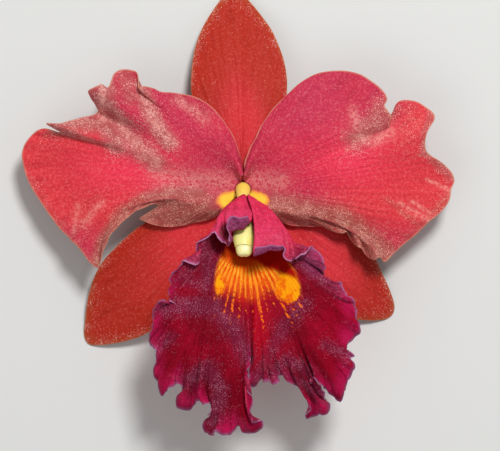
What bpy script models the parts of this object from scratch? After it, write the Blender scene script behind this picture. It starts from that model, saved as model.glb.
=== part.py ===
"""Cattleya orchid flower, picked and lying face up on a surface.

The flower is built in its own frame, in millimetres: the origin is the middle of the flower,
+Z points out of its face, +Y to the dorsal sepal's tip and +X to the right as seen from the front.
Every piece is then put in metres, and one empty, "flower", stands the whole on z = 0 with the
origin under the middle of its footprint.

Three sepals (the outer whorl) and two petals are thin sheets that spread from the top of the
ovary. The lip is one trumpet-shaped sheet: its side lobes roll up round the column and meet above
it, and its front spreads into a frilled apron. The column carries the anther cap, and under the
cap lie four pollinia. The ovary bends down behind the flower and runs into its stalk, the pedicel.
"""

import math

import bpy
import numpy as np
from mathutils import Vector

MM = 0.001

# ---- driving dimensions, in millimetres ----
SHEET = 0.9  # thickness of a sepal, a petal and the lip
RIM_SHARE = 0.55  # of that thickness, what is left at the free margin
SEAT_GAP = 0.3  # between pieces that touch

CORE_RADIUS = 2.4  # top of the ovary, which carries every other piece
CORE_TOP = 1.6
CLAW_RADIUS = CORE_RADIUS + SEAT_GAP  # where a petal's or sepal's narrow base ends
SEPAL_LEVEL = -2.4  # height of the outer whorl's bases
PETAL_LEVEL = 0.9  # height of the two petals' bases
SEPAL_DROP = 14.2  # how far a sepal's tip bends back behind its base

CAP_WIDTH, CAP_HEIGHT, CAP_DEPTH = 5.4, 3.9, 3.0
CAP_WALL = 0.45
CAP_BLUNTNESS = 0.7  # 1 is a half ball; less makes the cap's front blunter
POLLINIUM = (0.55, 0.42, 0.6)  # half-sizes of one pollinium

# ---- outlines, each from the claw round the free margin and back to the claw ----
DORSAL_SEPAL = [
    (-4.6, 5.5), (-8.6, 13.0), (-13.2, 21.5), (-16.4, 30.0), (-16.7, 38.0), (-15.7, 45.3),
    (-13.9, 51.0), (-11.6, 55.5), (-8.2, 60.8), (-5.4, 64.0), (-2.9, 65.2), (-0.4, 63.8), (2.6, 60.8),
    (5.9, 56.7), (9.2, 52.0), (11.8, 46.1), (13.5, 40.4), (14.2, 33.5), (13.2, 24.0), (9.6, 14.0),
    (5.0, 6.0),
]
LEFT_LATERAL_SEPAL = [
    (-6.0, -0.5), (-14.0, -3.4), (-23.0, -6.8), (-31.4, -10.4), (-36.5, -14.1), (-41.6, -18.9),
    (-45.7, -23.6), (-48.6, -29.1), (-50.5, -35.7), (-51.3, -41.6), (-51.7, -47.0), (-50.3, -49.9),
    (-46.1, -50.2), (-41.6, -49.6), (-36.5, -48.4), (-32.1, -46.7), (-26.0, -43.3), (-18.5, -37.0),
    (-12.0, -28.5), (-6.6, -18.5), (-2.3, -8.5),
]
RIGHT_LATERAL_SEPAL = [
    (6.0, 0.2), (15.0, -1.6), (25.0, -5.5), (33.0, -10.5), (38.8, -16.0), (42.2, -21.0), (44.5, -25.8),
    (47.2, -31.4), (49.2, -37.6), (48.2, -40.9), (44.3, -42.2), (37.0, -41.8), (29.0, -39.5),
    (21.0, -34.5), (14.0, -27.0), (8.2, -18.0), (3.0, -8.5),
]
# A petal's margin waves towards the viewer and away, so its points have a height as well. Where the
# outline doubles back, the margin is pleated and the height tells the layer in front.
LEFT_PETAL = [
    (-0.4, 6.4, 1.6), (-0.6, 9.4, 1.8), (-1.4, 12.2, 2.0), (-3.2, 17.3, 2.0), (-6.4, 22.4, 1.5),
    (-9.9, 26.4, 1.0), (-13.5, 29.0, 0.5), (-17.0, 30.3, 0.0), (-21.6, 31.1, -0.5), (-26.7, 31.6, 0.0),
    (-29.5, 32.7, 1.2), (-31.8, 33.2, 2.6), (-33.0, 32.7, 2.4), (-33.4, 34.6, 0.5), (-33.9, 37.6, -1.5),
    (-35.6, 38.5, -2.5), (-39.0, 38.7, -2.8), (-41.3, 37.4, -1.5), (-42.1, 35.1, 1.0),
    (-42.7, 33.2, 3.2), (-43.7, 32.6, 4.8), (-44.6, 33.7, 5.8), (-47.1, 32.8, 6.0), (-49.4, 31.4, 5.2),
    (-48.7, 29.2, 3.0), (-47.2, 26.9, 0.2), (-46.5, 25.2, -1.8), (-48.5, 24.0, -1.2),
    (-52.3, 23.1, 1.0), (-55.8, 21.9, 2.4), (-58.9, 21.2, 3.0), (-62.6, 21.4, 3.0), (-62.4, 20.7, 1.8),
    (-58.6, 19.2, 1.0), (-58.8, 18.6, -0.8), (-62.0, 19.4, -2.0), (-64.5, 19.7, -2.5),
    (-66.8, 18.7, -3.0), (-69.6, 15.7, -4.0), (-71.1, 12.4, -4.6), (-70.9, 9.0, -5.0),
    (-70.1, 5.6, -5.0), (-68.3, 1.2, -4.5), (-65.5, -3.2, -3.8), (-62.0, -8.3, -3.0),
    (-58.9, -12.4, -3.2), (-56.4, -14.8, -2.0), (-55.0, -16.4, -0.2), (-53.6, -17.4, 0.4),
    (-51.2, -20.5, -0.8), (-48.7, -23.6, -0.5), (-46.4, -25.0, 0.2), (-45.2, -21.5, 2.0),
    (-43.8, -17.9, 3.4), (-42.0, -14.4, 4.0), (-39.6, -11.5, 4.0), (-36.8, -8.9, 4.0),
    (-33.2, -6.3, 4.0), (-29.0, -4.6, 4.0), (-27.0, -4.9, 2.6), (-29.0, -6.4, 0.6), (-32.0, -8.2, -0.8),
    (-33.2, -9.2, -1.8), (-31.6, -10.0, -2.2), (-28.8, -11.1, -2.0), (-24.2, -11.8, -1.6),
    (-19.0, -11.2, -1.5), (-14.0, -10.2, -1.0), (-9.2, -8.8, -0.4),
]
RIGHT_PETAL = [
    (0.6, 6.2, 2.6), (0.9, 9.2, 3.0), (2.1, 12.7, 2.8), (4.3, 17.3, 2.4), (6.4, 21.4, 2.0),
    (9.1, 25.4, 1.5), (12.7, 29.2, 1.0), (16.3, 32.8, 0.5), (19.8, 35.4, 0.0), (23.9, 37.4, -0.5),
    (28.5, 38.2, -1.0), (33.6, 38.1, -1.0), (37.7, 36.9, 0.0), (40.7, 35.1, 1.0), (43.3, 33.1, 2.0),
    (45.5, 30.6, 3.0), (46.0, 28.6, 3.5), (45.1, 27.0, 4.0), (46.2, 25.2, 4.0), (47.4, 23.4, 3.6),
    (46.6, 20.9, 2.4), (47.0, 20.4, 0.2), (47.7, 22.8, -1.4), (48.3, 25.4, -2.2), (48.9, 27.4, -2.5),
    (50.4, 28.7, -2.5), (53.0, 28.9, -2.0), (56.0, 28.2, -1.0), (58.6, 26.5, 0.0), (60.9, 24.6, 1.0),
    (61.3, 22.7, 1.5), (60.1, 20.6, 2.0), (58.8, 18.2, 2.0), (58.2, 15.4, 1.5), (58.5, 12.9, 0.5),
    (60.1, 11.1, -0.5), (62.7, 9.6, -1.5), (65.2, 7.6, -2.5), (67.3, 5.2, -3.5), (67.9, 2.8, -4.0),
    (66.9, 0.4, -3.6), (66.4, -2.7, -3.5), (64.7, -5.7, -3.5), (62.2, -8.3, -3.0), (59.6, -10.2, -2.5),
    (57.0, -12.9, -2.5), (54.0, -15.6, -3.0), (51.0, -17.9, -3.0), (47.9, -21.0, -3.0),
    (45.4, -23.2, -2.8), (44.2, -21.8, -0.6), (43.2, -21.6, 0.4), (42.0, -22.5, -0.6),
    (39.4, -20.9, -2.6), (38.0, -18.9, -0.6), (37.3, -18.5, 0.6), (36.2, -17.8, -0.8),
    (34.7, -16.1, -2.6), (33.9, -14.1, -0.8), (33.3, -13.3, 0.6), (31.6, -14.0, 0.3),
    (28.5, -13.1, -0.8), (24.4, -11.8, -1.5), (20.3, -11.6, -1.5), (16.3, -11.5, -1.0),
    (12.6, -10.4, -0.4), (9.0, -8.6, 0.2),
]
# The petal's veins bow on their way out, so that they reach a lobe beside a crease from its own side.
# Each entry is a share of the margin, how far up the vein that ends there bows at two thirds of its
# way, and how far to the right and up it bows close to its end.
LEFT_PETAL_BOW = [
    (0.0, 0, 0, 0), (0.18, 0, 0, 0), (0.2, 0, -2.5, 2), (0.215, 0, -3, 0), (0.25, 0, -1, 0),
    (0.28, 0, 0, 0), (0.5, 0, 0, 0), (0.6, 4, 0, 0), (0.65, 7.3, 0, 0), (0.7, 10.2, 0, 0),
    (0.73, 10.8, -1, 0), (0.75, 9.5, -4, 0), (0.77, 7, -3, 1), (0.8, 3.8, -1.5, 2), (0.83, 1.2, 0, 2),
    (0.86, 0, 0, 0), (1.0, 0, 0, 0),
]
RIGHT_PETAL_BOW = [
    (0.0, 0, 0, 0), (0.33, 0, 0, 0), (0.36, -0.5, -1, 0), (0.375, -1, 2, -3), (0.4, -1.5, 2.5, -3),
    (0.44, -1.5, 0, 0), (0.5, -1, 0, 0), (0.6, 0, 0, 0), (0.68, 0, 0, 0), (0.77, 2.8, 0.5, 1),
    (0.8, 2.2, 2, 2), (0.83, 1.8, 2, 2), (0.87, 0.5, 2, 2), (0.9, 0, 0, 0), (1.0, 0, 0, 0),
]

# ---- the lip: lines that run from its base to its margin, from the left edge of the roof round
# below to the right edge. Each has a point at every LIP_RINGS share of the way. ----
LIP_RINGS = (0.0, 0.2, 0.4, 0.6, 0.8, 0.92, 1.0)
LIP_LINES = {
    "roof_left": [(-2.1, -2.3, 2.4), (-2.7, -3.9, 8.8), (0.6, -1.7, 12.0), (2.6, -5.6, 15.4),
                  (2.9, -8.1, 18.7), (2.4, -10.8, 21.2), (1.8, -9.0, 23.0)],
    "fold_left": [(-1.9, -2.5, 2.4), (-3.3, -4.5, 8.0), (-3.2, -4.1, 13.0), (-3.6, -6.4, 17.4),
                  (-4.0, -9.6, 20.9), (-2.5, -12.8, 22.8), (-4.2, -9.2, 25.2)],
    "cheek_left": [(-1.6, -2.7, 2.4), (-4.2, -5.2, 7.8), (-6.0, -6.6, 13.6), (-7.5, -9.4, 18.0),
                   (-8.3, -11.8, 20.9), (-8.9, -13.0, 22.3), (-9.4, -13.8, 23.2)],
    "shoulder_left": [(-1.2, -2.9, 2.4), (-4.8, -7.0, 7.4), (-8.9, -13.5, 14.6), (-12.4, -20.5, 19.5),
                      (-17.0, -25.5, 19.6), (-20.4, -28.8, 18.0), (-23.0, -31.3, 16.0)],
    "side_left": [(-0.7, -3.0, 2.4), (-4.0, -9.4, 6.2), (-8.2, -19.0, 14.4), (-10.8, -32.0, 19.8),
                  (-14.0, -50.0, 20.4), (-16.2, -61.0, 17.2), (-17.3, -70.4, 13.0)],
    "middle": [(0.0, -3.05, 2.4), (0.3, -10.0, 5.2), (0.8, -21.0, 12.6), (1.5, -31.5, 19.0),
               (2.0, -42.5, 22.4), (2.3, -48.5, 22.4), (2.6, -52.4, 21.4)],
    "side_right": [(0.7, -3.0, 2.4), (4.6, -9.4, 6.2), (9.6, -19.0, 14.4), (13.8, -31.5, 19.6),
                   (20.4, -48.0, 19.6), (25.4, -58.5, 16.6), (29.8, -66.9, 12.6)],
    "shoulder_right": [(1.2, -2.9, 2.4), (5.4, -7.0, 7.6), (11.6, -13.5, 15.6), (15.4, -20.5, 19.8),
                       (20.6, -24.4, 19.4), (24.6, -26.8, 17.6), (28.0, -28.4, 15.6)],
    "cheek_right": [(1.6, -2.7, 2.4), (4.4, -4.4, 8.4), (8.4, -6.4, 15.2), (11.4, -10.6, 20.4),
                    (13.2, -15.2, 23.6), (13.8, -19.8, 25.4), (13.2, -19.4, 27.3)],
    "roof_right": [(2.1, -2.3, 2.4), (2.9, -2.8, 8.8), (1.3, -2.0, 13.6), (2.9, -7.2, 19.2),
                   (3.6, -13.8, 24.4), (3.2, -20.2, 27.1), (3.9, -17.7, 29.0)],
}
# The frilled margin between one line's end and the next.
LIP_MARGIN = [
    # the roof's left front edge, rolled back
    [(-0.4, -8.3, 24.2), (-2.8, -8.2, 25.0)],
    # down the fold to the left cheek
    [(-4.5, -11.5, 24.8), (-4.6, -14.2, 23.6), (-5.2, -16.7, 22.0), (-6.8, -16.4, 21.2),
     (-8.6, -15.0, 22.0)],
    # left shoulder
    [(-12.0, -14.9, 22.4), (-13.9, -16.3, 21.0), (-14.8, -18.3, 19.8), (-14.8, -20.2, 19.6),
     (-13.9, -22.0, 20.4), (-13.6, -23.2, 21.6), (-14.6, -23.8, 22.6), (-16.2, -23.4, 22.8),
     (-18.0, -22.7, 22.0), (-19.4, -23.4, 20.4), (-20.6, -24.9, 18.8), (-22.6, -26.4, 17.4),
     (-23.5, -28.1, 16.8), (-22.7, -29.6, 16.8)],
    # left side, down to the two hooked lobes
    [(-23.4, -33.2, 16.4), (-22.4, -34.7, 17.6), (-20.8, -35.3, 18.6), (-20.0, -35.9, 19.6),
     (-21.4, -36.4, 20.2), (-23.7, -35.8, 19.6), (-25.9, -34.7, 18.4), (-27.6, -36.4, 16.4),
     (-28.7, -37.9, 15.0), (-29.4, -40.2, 14.8), (-28.3, -41.1, 16.4), (-28.4, -42.0, 17.2),
     (-29.2, -43.0, 16.2), (-28.5, -44.2, 15.2), (-29.5, -46.0, 14.2), (-29.8, -48.2, 14.4),
     (-28.4, -50.2, 16.2), (-27.2, -50.6, 17.4), (-27.6, -52.2, 16.2), (-27.3, -54.8, 14.4),
     (-28.7, -56.7, 13.8), (-28.1, -58.6, 13.4), (-27.8, -60.7, 13.2), (-26.4, -62.4, 13.6),
     (-26.1, -64.2, 13.4), (-25.2, -65.4, 13.6), (-24.0, -63.5, 15.2), (-22.6, -62.2, 16.6),
     (-20.7, -61.6, 17.2), (-18.8, -62.1, 16.8), (-19.6, -63.0, 15.0), (-20.1, -64.4, 13.8),
     (-21.0, -65.9, 12.8), (-20.8, -67.8, 12.0), (-19.2, -69.5, 12.2)],
    # the long front lobe, and up into the cleft in the middle
    [(-16.1, -69.1, 14.0), (-14.6, -67.4, 15.2), (-12.6, -66.5, 15.8), (-10.9, -67.1, 16.0),
     (-9.8, -68.8, 15.4), (-10.2, -70.8, 14.2), (-11.4, -72.7, 12.6), (-12.6, -74.6, 11.4),
     (-11.9, -76.8, 11.0), (-10.2, -78.1, 11.6), (-8.5, -76.9, 13.4), (-6.5, -77.6, 13.6),
     (-4.1, -78.1, 13.0), (-2.4, -76.4, 12.0), (-1.1, -75.4, 11.2), (0.2, -76.6, 10.4),
     (2.6, -77.2, 10.6), (5.2, -76.6, 12.0), (6.2, -75.4, 13.4), (5.6, -74.2, 14.2), (4.2, -72.8, 15.0),
     (3.0, -70.6, 16.0), (2.0, -67.4, 17.4), (1.4, -63.4, 19.0), (1.2, -58.6, 20.8)],
    # out of the cleft, the short right front and its pointed flap, to the slit beside it
    [(2.2, -55.6, 19.4), (1.9, -59.2, 18.2), (2.0, -62.2, 17.4), (3.8, -62.3, 17.0), (5.4, -61.0, 17.4),
     (7.0, -60.3, 18.4), (9.1, -61.0, 19.4), (10.7, -61.1, 19.4), (11.8, -60.2, 18.6),
     (11.4, -58.9, 17.2), (12.4, -58.8, 16.6), (13.9, -59.9, 16.0), (16.3, -62.0, 15.2),
     (18.4, -64.4, 14.2), (20.0, -66.8, 13.2), (20.7, -69.4, 12.2), (20.4, -73.2, 11.0),
     (22.1, -72.5, 10.6), (24.5, -71.2, 10.0), (27.0, -69.7, 9.6), (28.3, -68.2, 9.8),
     (25.4, -64.8, 11.6), (22.6, -61.4, 13.8), (21.0, -59.4, 16.2), (23.8, -61.0, 15.8),
     (27.2, -64.4, 14.0)],
    # right side
    [(31.0, -65.9, 12.2), (32.5, -63.1, 12.4), (33.8, -60.4, 13.0), (35.1, -57.5, 13.0),
     (35.2, -54.8, 13.6), (34.3, -53.6, 15.2), (35.6, -52.8, 15.6), (34.5, -51.5, 15.4),
     (32.9, -50.5, 15.4), (33.5, -48.9, 14.4), (35.6, -48.0, 13.0), (37.0, -46.4, 12.8),
     (37.0, -44.4, 13.4), (36.9, -42.4, 14.2), (36.1, -40.4, 14.8), (36.4, -38.2, 14.2),
     (35.5, -35.6, 14.6), (34.4, -33.8, 16.2), (33.0, -33.6, 17.8), (32.1, -32.6, 18.4),
     (31.8, -31.0, 17.0), (31.2, -29.3, 15.8), (30.2, -29.0, 16.2), (29.2, -29.6, 17.0)],
    # right shoulder and the curl under the roof
    [(26.7, -27.3, 15.6), (25.4, -26.0, 16.6), (25.6, -24.3, 17.4), (25.2, -22.1, 18.4),
     (23.9, -20.0, 19.6), (22.1, -18.6, 20.8), (20.3, -18.2, 21.8), (18.5, -18.9, 22.8),
     (17.3, -20.3, 23.8), (16.2, -22.1, 24.6), (15.0, -23.1, 25.4), (14.1, -22.6, 26.2),
     (13.4, -21.0, 27.0)],
    # the roof's right front edge, rolled back
    [(11.8, -17.7, 27.8), (9.9, -17.4, 28.4), (7.8, -17.9, 28.6), (5.9, -17.6, 28.9)],
]


# ---- curves and sheets ----
def spline(points, knots, at):
    """A smooth curve through points (at the given knots), read at the places in `at`."""
    points, knots, at = np.asarray(points, float), np.asarray(knots, float), np.asarray(at, float)
    slope = np.empty_like(points)
    slope[1:-1] = (points[2:] - points[:-2]) / (knots[2:] - knots[:-2])[:, None]
    slope[0] = (points[1] - points[0]) / (knots[1] - knots[0])
    slope[-1] = (points[-1] - points[-2]) / (knots[-1] - knots[-2])
    i = np.clip(np.searchsorted(knots, at, side="right") - 1, 0, len(knots) - 2)
    width = (knots[i + 1] - knots[i])[:, None]
    t = ((at - knots[i])[:, None]) / width
    return (
        points[i] * (2 * t**3 - 3 * t**2 + 1)
        + points[i + 1] * (3 * t**2 - 2 * t**3)
        + slope[i] * width * (t**3 - 2 * t**2 + t)
        + slope[i + 1] * width * (t**3 - t**2)
    )


def lengths_along(points):
    steps = np.linalg.norm(np.diff(points, axis=0), axis=1)
    return np.concatenate([[0], np.cumsum(steps)])


def smooth_path(points, count):
    """`count` points at even spacing along a smooth curve through the given ones."""
    points = np.asarray(points, float)
    knots = np.concatenate([[0], np.cumsum(np.sqrt(np.linalg.norm(np.diff(points, axis=0), axis=1)))])
    dense = spline(points, knots, np.linspace(0, knots[-1], 12 * len(points)))
    run = lengths_along(dense)
    even = np.linspace(0, run[-1], count)
    return np.stack([np.interp(even, run, dense[:, k]) for k in range(3)], axis=1)


def blurred(points, width):
    """Points averaged with their neighbours over `width` steps, with both ends held still."""
    if width < 0.3:
        return points
    reach = min(int(3 * width) + 1, len(points) - 1)
    before = 2 * points[0] - points[reach:0:-1]
    after = 2 * points[-1] - points[-2 : -reach - 2 : -1]
    padded = np.concatenate([before, points, after])
    weights = np.exp(-0.5 * (np.arange(-reach, reach + 1) / width) ** 2)
    weights /= weights.sum()
    return np.stack([np.convolve(padded[:, k], weights, mode="valid") for k in range(3)], axis=1)


DENSE = 600  # points along a margin while its waves are worked out
FAIRING = 0.8  # margins are evened out over this many millimetres, so that no pleat closes on itself


STRAIGHT = [(0, 0, 0, 0), (1, 0, 0, 0)]  # veins that don't bow aside


def fan_sheet(claw_angles, level, margin, bend, dome, reach, rows, columns, bow=STRAIGHT):
    """The grid of a petal or sepal: rows from the claw to the margin, columns along the margin.

    The margin's waves fade towards the claw: each row follows a margin that is blurred the more
    the nearer the row is to the claw. bend shapes the height between the two, dome lifts the middle,
    and bow tells how far the column at a given share of the margin bows aside on its way out.
    """
    edge = smooth_path(margin, DENSE)
    step = lengths_along(edge)[-1] / (DENSE - 1)
    places = np.linspace(0, 1, DENSE)
    shares, *amounts = zip(*bow)
    early_up, late_right, late_up = blurred(
        np.stack([np.interp(places, shares, amount) for amount in amounts], axis=1), 0.012 * DENSE
    ).T
    start, end = (math.radians(a) for a in claw_angles)
    angle = np.linspace(start, end, DENSE)
    claw = np.stack([np.cos(angle), np.sin(angle), np.zeros(DENSE)], axis=1) * CLAW_RADIUS
    claw[:, 2] = level
    pick = np.round(np.linspace(0, DENSE - 1, columns + 1)).astype(int)
    grid = []
    for share in 1 - (1 - np.linspace(0, 1, rows + 1)) ** 1.25:
        row_edge = blurred(edge, (FAIRING + reach * (1 - share) ** 1.3) / step)
        row = claw + (row_edge - claw) * share
        early, late = 6.75 * share**2 * (1 - share), 14.9 * share**5 * (1 - share)
        row[:, 0] += late * late_right
        row[:, 1] += early * early_up + late * late_up
        lift = dome * math.sin(math.pi * share) ** 2
        row[:, 2] = claw[:, 2] + (row_edge[:, 2] - claw[:, 2]) * share**bend + lift
        grid.append(row[pick])
    return np.array(grid)


def with_sepal_height(outline):
    """A sepal's flat outline with heights: it bends back more and more towards its tip."""
    far = max(math.hypot(x, y) for x, y in outline)
    return [(x, y, SEPAL_LEVEL - SEPAL_DROP * (math.hypot(x, y) / far) ** 2) for x, y in outline]


LIP_FINENESS = 4  # the lip's grid is worked out this many times finer than it is built
LIP_FADE = (1.7, 1.7, 3.2)  # how fast the frills fade inwards, in x, y and height
UNFOLDING_ROUNDS = 60
LIP_DOME_TOP = (2.0, -35.0)
LIP_DOME_FALL = 0.0062  # millimetres of height lost per square millimetre away from the dome's top


def smoothstep(low, high, value):
    share = np.clip((value - low) / (high - low), 0, 1)
    return share * share * (3 - 2 * share)


def lip_dome(points):
    """The height of the shallow dome that the lip's apron follows, at each point."""
    right, up = points[..., 0] - LIP_DOME_TOP[0], points[..., 1] - LIP_DOME_TOP[1]
    return -LIP_DOME_FALL * (right**2 + up**2)


def unfolded(grid):
    """Evens out the veins inside the lip's lobes, so that the sheet never folds over beside a notch.

    Seen from above the grid is relaxed, as a mesh is laid out inside a lobed outline, and its height
    above the dome follows along. The margin and the steep throat stay where they are.
    """
    grid = grid.copy()
    grid[..., 2] -= lip_dome(grid)
    share = (1 - (1 - np.linspace(0, 1, len(grid))) ** 1.15)[1:-1, None]
    across = np.linspace(0, 1, grid.shape[1])[None, 1:-1]
    free = smoothstep(0.4, 0.62, share) * smoothstep(0.11, 0.16, across) * smoothstep(0.94, 0.89, across)
    for _ in range(UNFOLDING_ROUNDS):
        along = (grid[2:, 1:-1] - grid[:-2, 1:-1]) / 2
        beside = (grid[1:-1, 2:] - grid[1:-1, :-2]) / 2
        a = np.sum(beside[..., :2] ** 2, axis=-1)[..., None]
        b = np.sum(along[..., :2] * beside[..., :2], axis=-1)[..., None]
        c = np.sum(along[..., :2] ** 2, axis=-1)[..., None]
        twist = (grid[2:, 2:] - grid[2:, :-2] - grid[:-2, 2:] + grid[:-2, :-2]) / 4
        ends = a * (grid[2:, 1:-1] + grid[:-2, 1:-1]) + c * (grid[1:-1, 2:] + grid[1:-1, :-2])
        target = (ends - 2 * b * twist) / (2 * (a + c) + 1e-9)
        grid[1:-1, 1:-1] += (target - grid[1:-1, 1:-1]) * 0.9 * free[..., None]
    grid[..., 2] += lip_dome(grid)
    return grid


def lip_sheet(rows, columns):
    """The lip's grid: a smooth trumpet through its lines, plus the margin's frills fading inwards."""
    lines = [np.array(line) for line in LIP_LINES.values()]
    margin, stops = [lines[0][-1]], [0]
    for between, line in zip(LIP_MARGIN, lines[1:]):
        margin += [np.array(p) for p in between] + [line[-1]]
        stops.append(len(margin) - 1)
    margin = np.array(margin)
    knots = np.concatenate([[0], np.cumsum(np.sqrt(np.linalg.norm(np.diff(margin, axis=0), axis=1)))])
    dense_knots = np.linspace(0, knots[-1], 8 * DENSE)
    dense = spline(margin, knots, dense_knots)
    run = lengths_along(dense)
    line_places = np.interp(knots[stops], dense_knots, run) / run[-1]
    places = np.linspace(0, 1, DENSE * 2)
    edge = np.stack([np.interp(places * run[-1], run, dense[:, k]) for k in range(3)], axis=1)
    step = run[-1] / (len(places) - 1)
    rings = np.array([spline(ring, line_places, places) for ring in zip(*lines)])
    frill = edge - rings[-1]
    pick = np.round(np.linspace(0, len(places) - 1, LIP_FINENESS * columns + 1)).astype(int)
    grid = []
    for share in 1 - (1 - np.linspace(0, 1, LIP_FINENESS * rows + 1)) ** 1.15:
        smooth = spline(rings.reshape(len(LIP_RINGS), -1), LIP_RINGS, [share])[0].reshape(-1, 3)
        fade = np.clip((share - 0.5) / 0.5, 0, 1) ** np.array(LIP_FADE)
        row = smooth + blurred(frill, (FAIRING + 22 * (1 - share)) / step) * fade
        grid.append(row[pick])
    return unfolded(np.array(grid))[::LIP_FINENESS, ::LIP_FINENESS]


def material(name, colour, roughness):
    made = bpy.data.materials.new(name)
    made.use_nodes = True
    shader = made.node_tree.nodes["Principled BSDF"]
    shader.inputs["Base Color"].default_value = (*colour, 1)
    shader.inputs["Roughness"].default_value = roughness
    shader.inputs["Metallic"].default_value = 0
    made.diffuse_color = (*colour, 1)
    return made


def add_object(name, points, faces, finish, flower):
    mesh = bpy.data.meshes.new(name)
    mesh.from_pydata([Vector(p) * MM for p in points], [], faces)
    mesh.materials.append(finish)
    mesh.shade_smooth()
    made = bpy.data.objects.new(name, mesh)
    bpy.context.scene.collection.objects.link(made)
    made.parent = flower
    return made


def add_sheet(name, grid, finish, flower):
    """A thin closed sheet on a grid of points: Solidify gives it its thickness, less at the margin."""
    rows, columns = grid.shape[:2]
    faces = [
        (r * columns + c, r * columns + c + 1, (r + 1) * columns + c + 1, (r + 1) * columns + c)
        for r in range(rows - 1)
        for c in range(columns - 1)
    ]
    made = add_object(name, grid.reshape(-1, 3), faces, finish, flower)
    group = made.vertex_groups.new(name="thickness")
    for r in range(rows):
        weight = 1 - (1 - RIM_SHARE) * (r / (rows - 1)) ** 2
        group.add(list(range(r * columns, (r + 1) * columns)), weight, "REPLACE")
    solid = made.modifiers.new("Thickness", "SOLIDIFY")
    solid.thickness = SHEET * MM
    solid.offset = 0
    solid.vertex_group = group.name
    return made


# ---- round pieces ----
def path_frames(path):
    """For each point of a path that bends in the YZ plane: its side and upward directions."""
    ahead = np.gradient(np.asarray(path, float), axis=0)
    ahead /= np.linalg.norm(ahead, axis=1)[:, None]
    side = np.tile([1.0, 0.0, 0.0], (len(path), 1))
    up = np.cross(ahead, side)
    return side, up / np.linalg.norm(up, axis=1)[:, None]


def loft(name, path, sections, finish, flower):
    """A closed body swept along a path through one section a point; a section is a list of (side, up)."""
    side, up = path_frames(path)
    count = len(sections[0])
    points = []
    for centre, across, above, section in zip(np.asarray(path, float), side, up, sections):
        points += [centre + across * a + above * b for a, b in section]
    faces = []
    for r in range(len(path) - 1):
        for k in range(count):
            after = (k + 1) % count
            faces.append((r * count + k, r * count + after, (r + 1) * count + after, (r + 1) * count + k))
    faces.append(tuple(reversed(range(count))))
    faces.append(tuple(range((len(path) - 1) * count, len(path) * count)))
    made = add_object(name, points, faces, finish, flower)
    made.data.set_sharp_from_angle(angle=math.radians(50))
    return made


OVARY_PATH = [
    (0, 0, CORE_TOP), (0, 0, -1.0), (0, -0.1, -3.6), (0, -0.9, -6.4), (0, -3.2, -9.4), (0, -6.8, -11.6),
    (0, -11.5, -12.8), (0, -17.0, -13.2), (0, -23.0, -13.3), (0, -29.0, -13.4), (0, -36.0, -13.6),
    (0, -44.0, -13.8), (0, -51.0, -14.0), (0, -58.0, -14.2),
]
OVARY_RADII = [CORE_RADIUS] * 3 + [2.5, 2.5, 2.7, 2.9, 2.8, 2.5, 2.1, 1.9, 1.8, 1.8, 2.0]
RIBS = 6
RIB_DEPTH = [0, 0, 0, 0.03, 0.06, 0.08, 0.09, 0.08, 0.05, 0.02, 0, 0, 0, 0]


def ovary_section(radius, depth, count=24):
    angles = [2 * math.pi * k / count for k in range(count)]
    reach = [radius * (1 + depth * math.cos(RIBS * a)) for a in angles]
    return [(r * math.cos(a), r * math.sin(a)) for r, a in zip(reach, angles)]


COLUMN_PATH = [
    (0.0, 0.0, CORE_TOP + SEAT_GAP), (0.0, 0.0, 2.4), (0.0, -1.0, 4.4), (0.0, -2.6, 7.0),
    (0.05, -4.7, 10.0), (0.1, -7.2, 12.9), (0.2, -10.8, 16.0), (0.4, -15.2, 18.8), (0.4, -18.0, 20.1),
]
COLUMN_HALF_WIDTH = [CORE_RADIUS, 2.4, 2.2, 1.9, 1.9, 2.2, 2.8, 3.4, 2.8]
COLUMN_HALF_DEPTH = [CORE_RADIUS, 2.3, 1.8, 1.5, 1.5, 1.8, 2.0, 2.1, 2.1]
COLUMN_FLATNESS = 0.55  # of the half-depth, how far the underside stands out


def column_section(half_width, half_depth, count=18):
    """Round above, flatter below, where the stigma lies."""
    section = []
    for k in range(count):
        a = 2 * math.pi * k / count
        up = math.sin(a) * half_depth
        section.append((math.cos(a) * half_width, up if up > 0 else up * COLUMN_FLATNESS))
    return section


def tip_frame():
    """The column's end: its middle, and the side, up and outward directions there."""
    side, up = path_frames(COLUMN_PATH)
    return np.array(COLUMN_PATH[-1], float), side[-1], up[-1], np.cross(side[-1], up[-1])


CAP_LIFT = 0.15  # the cap sits this far above the middle of the column's end


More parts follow.
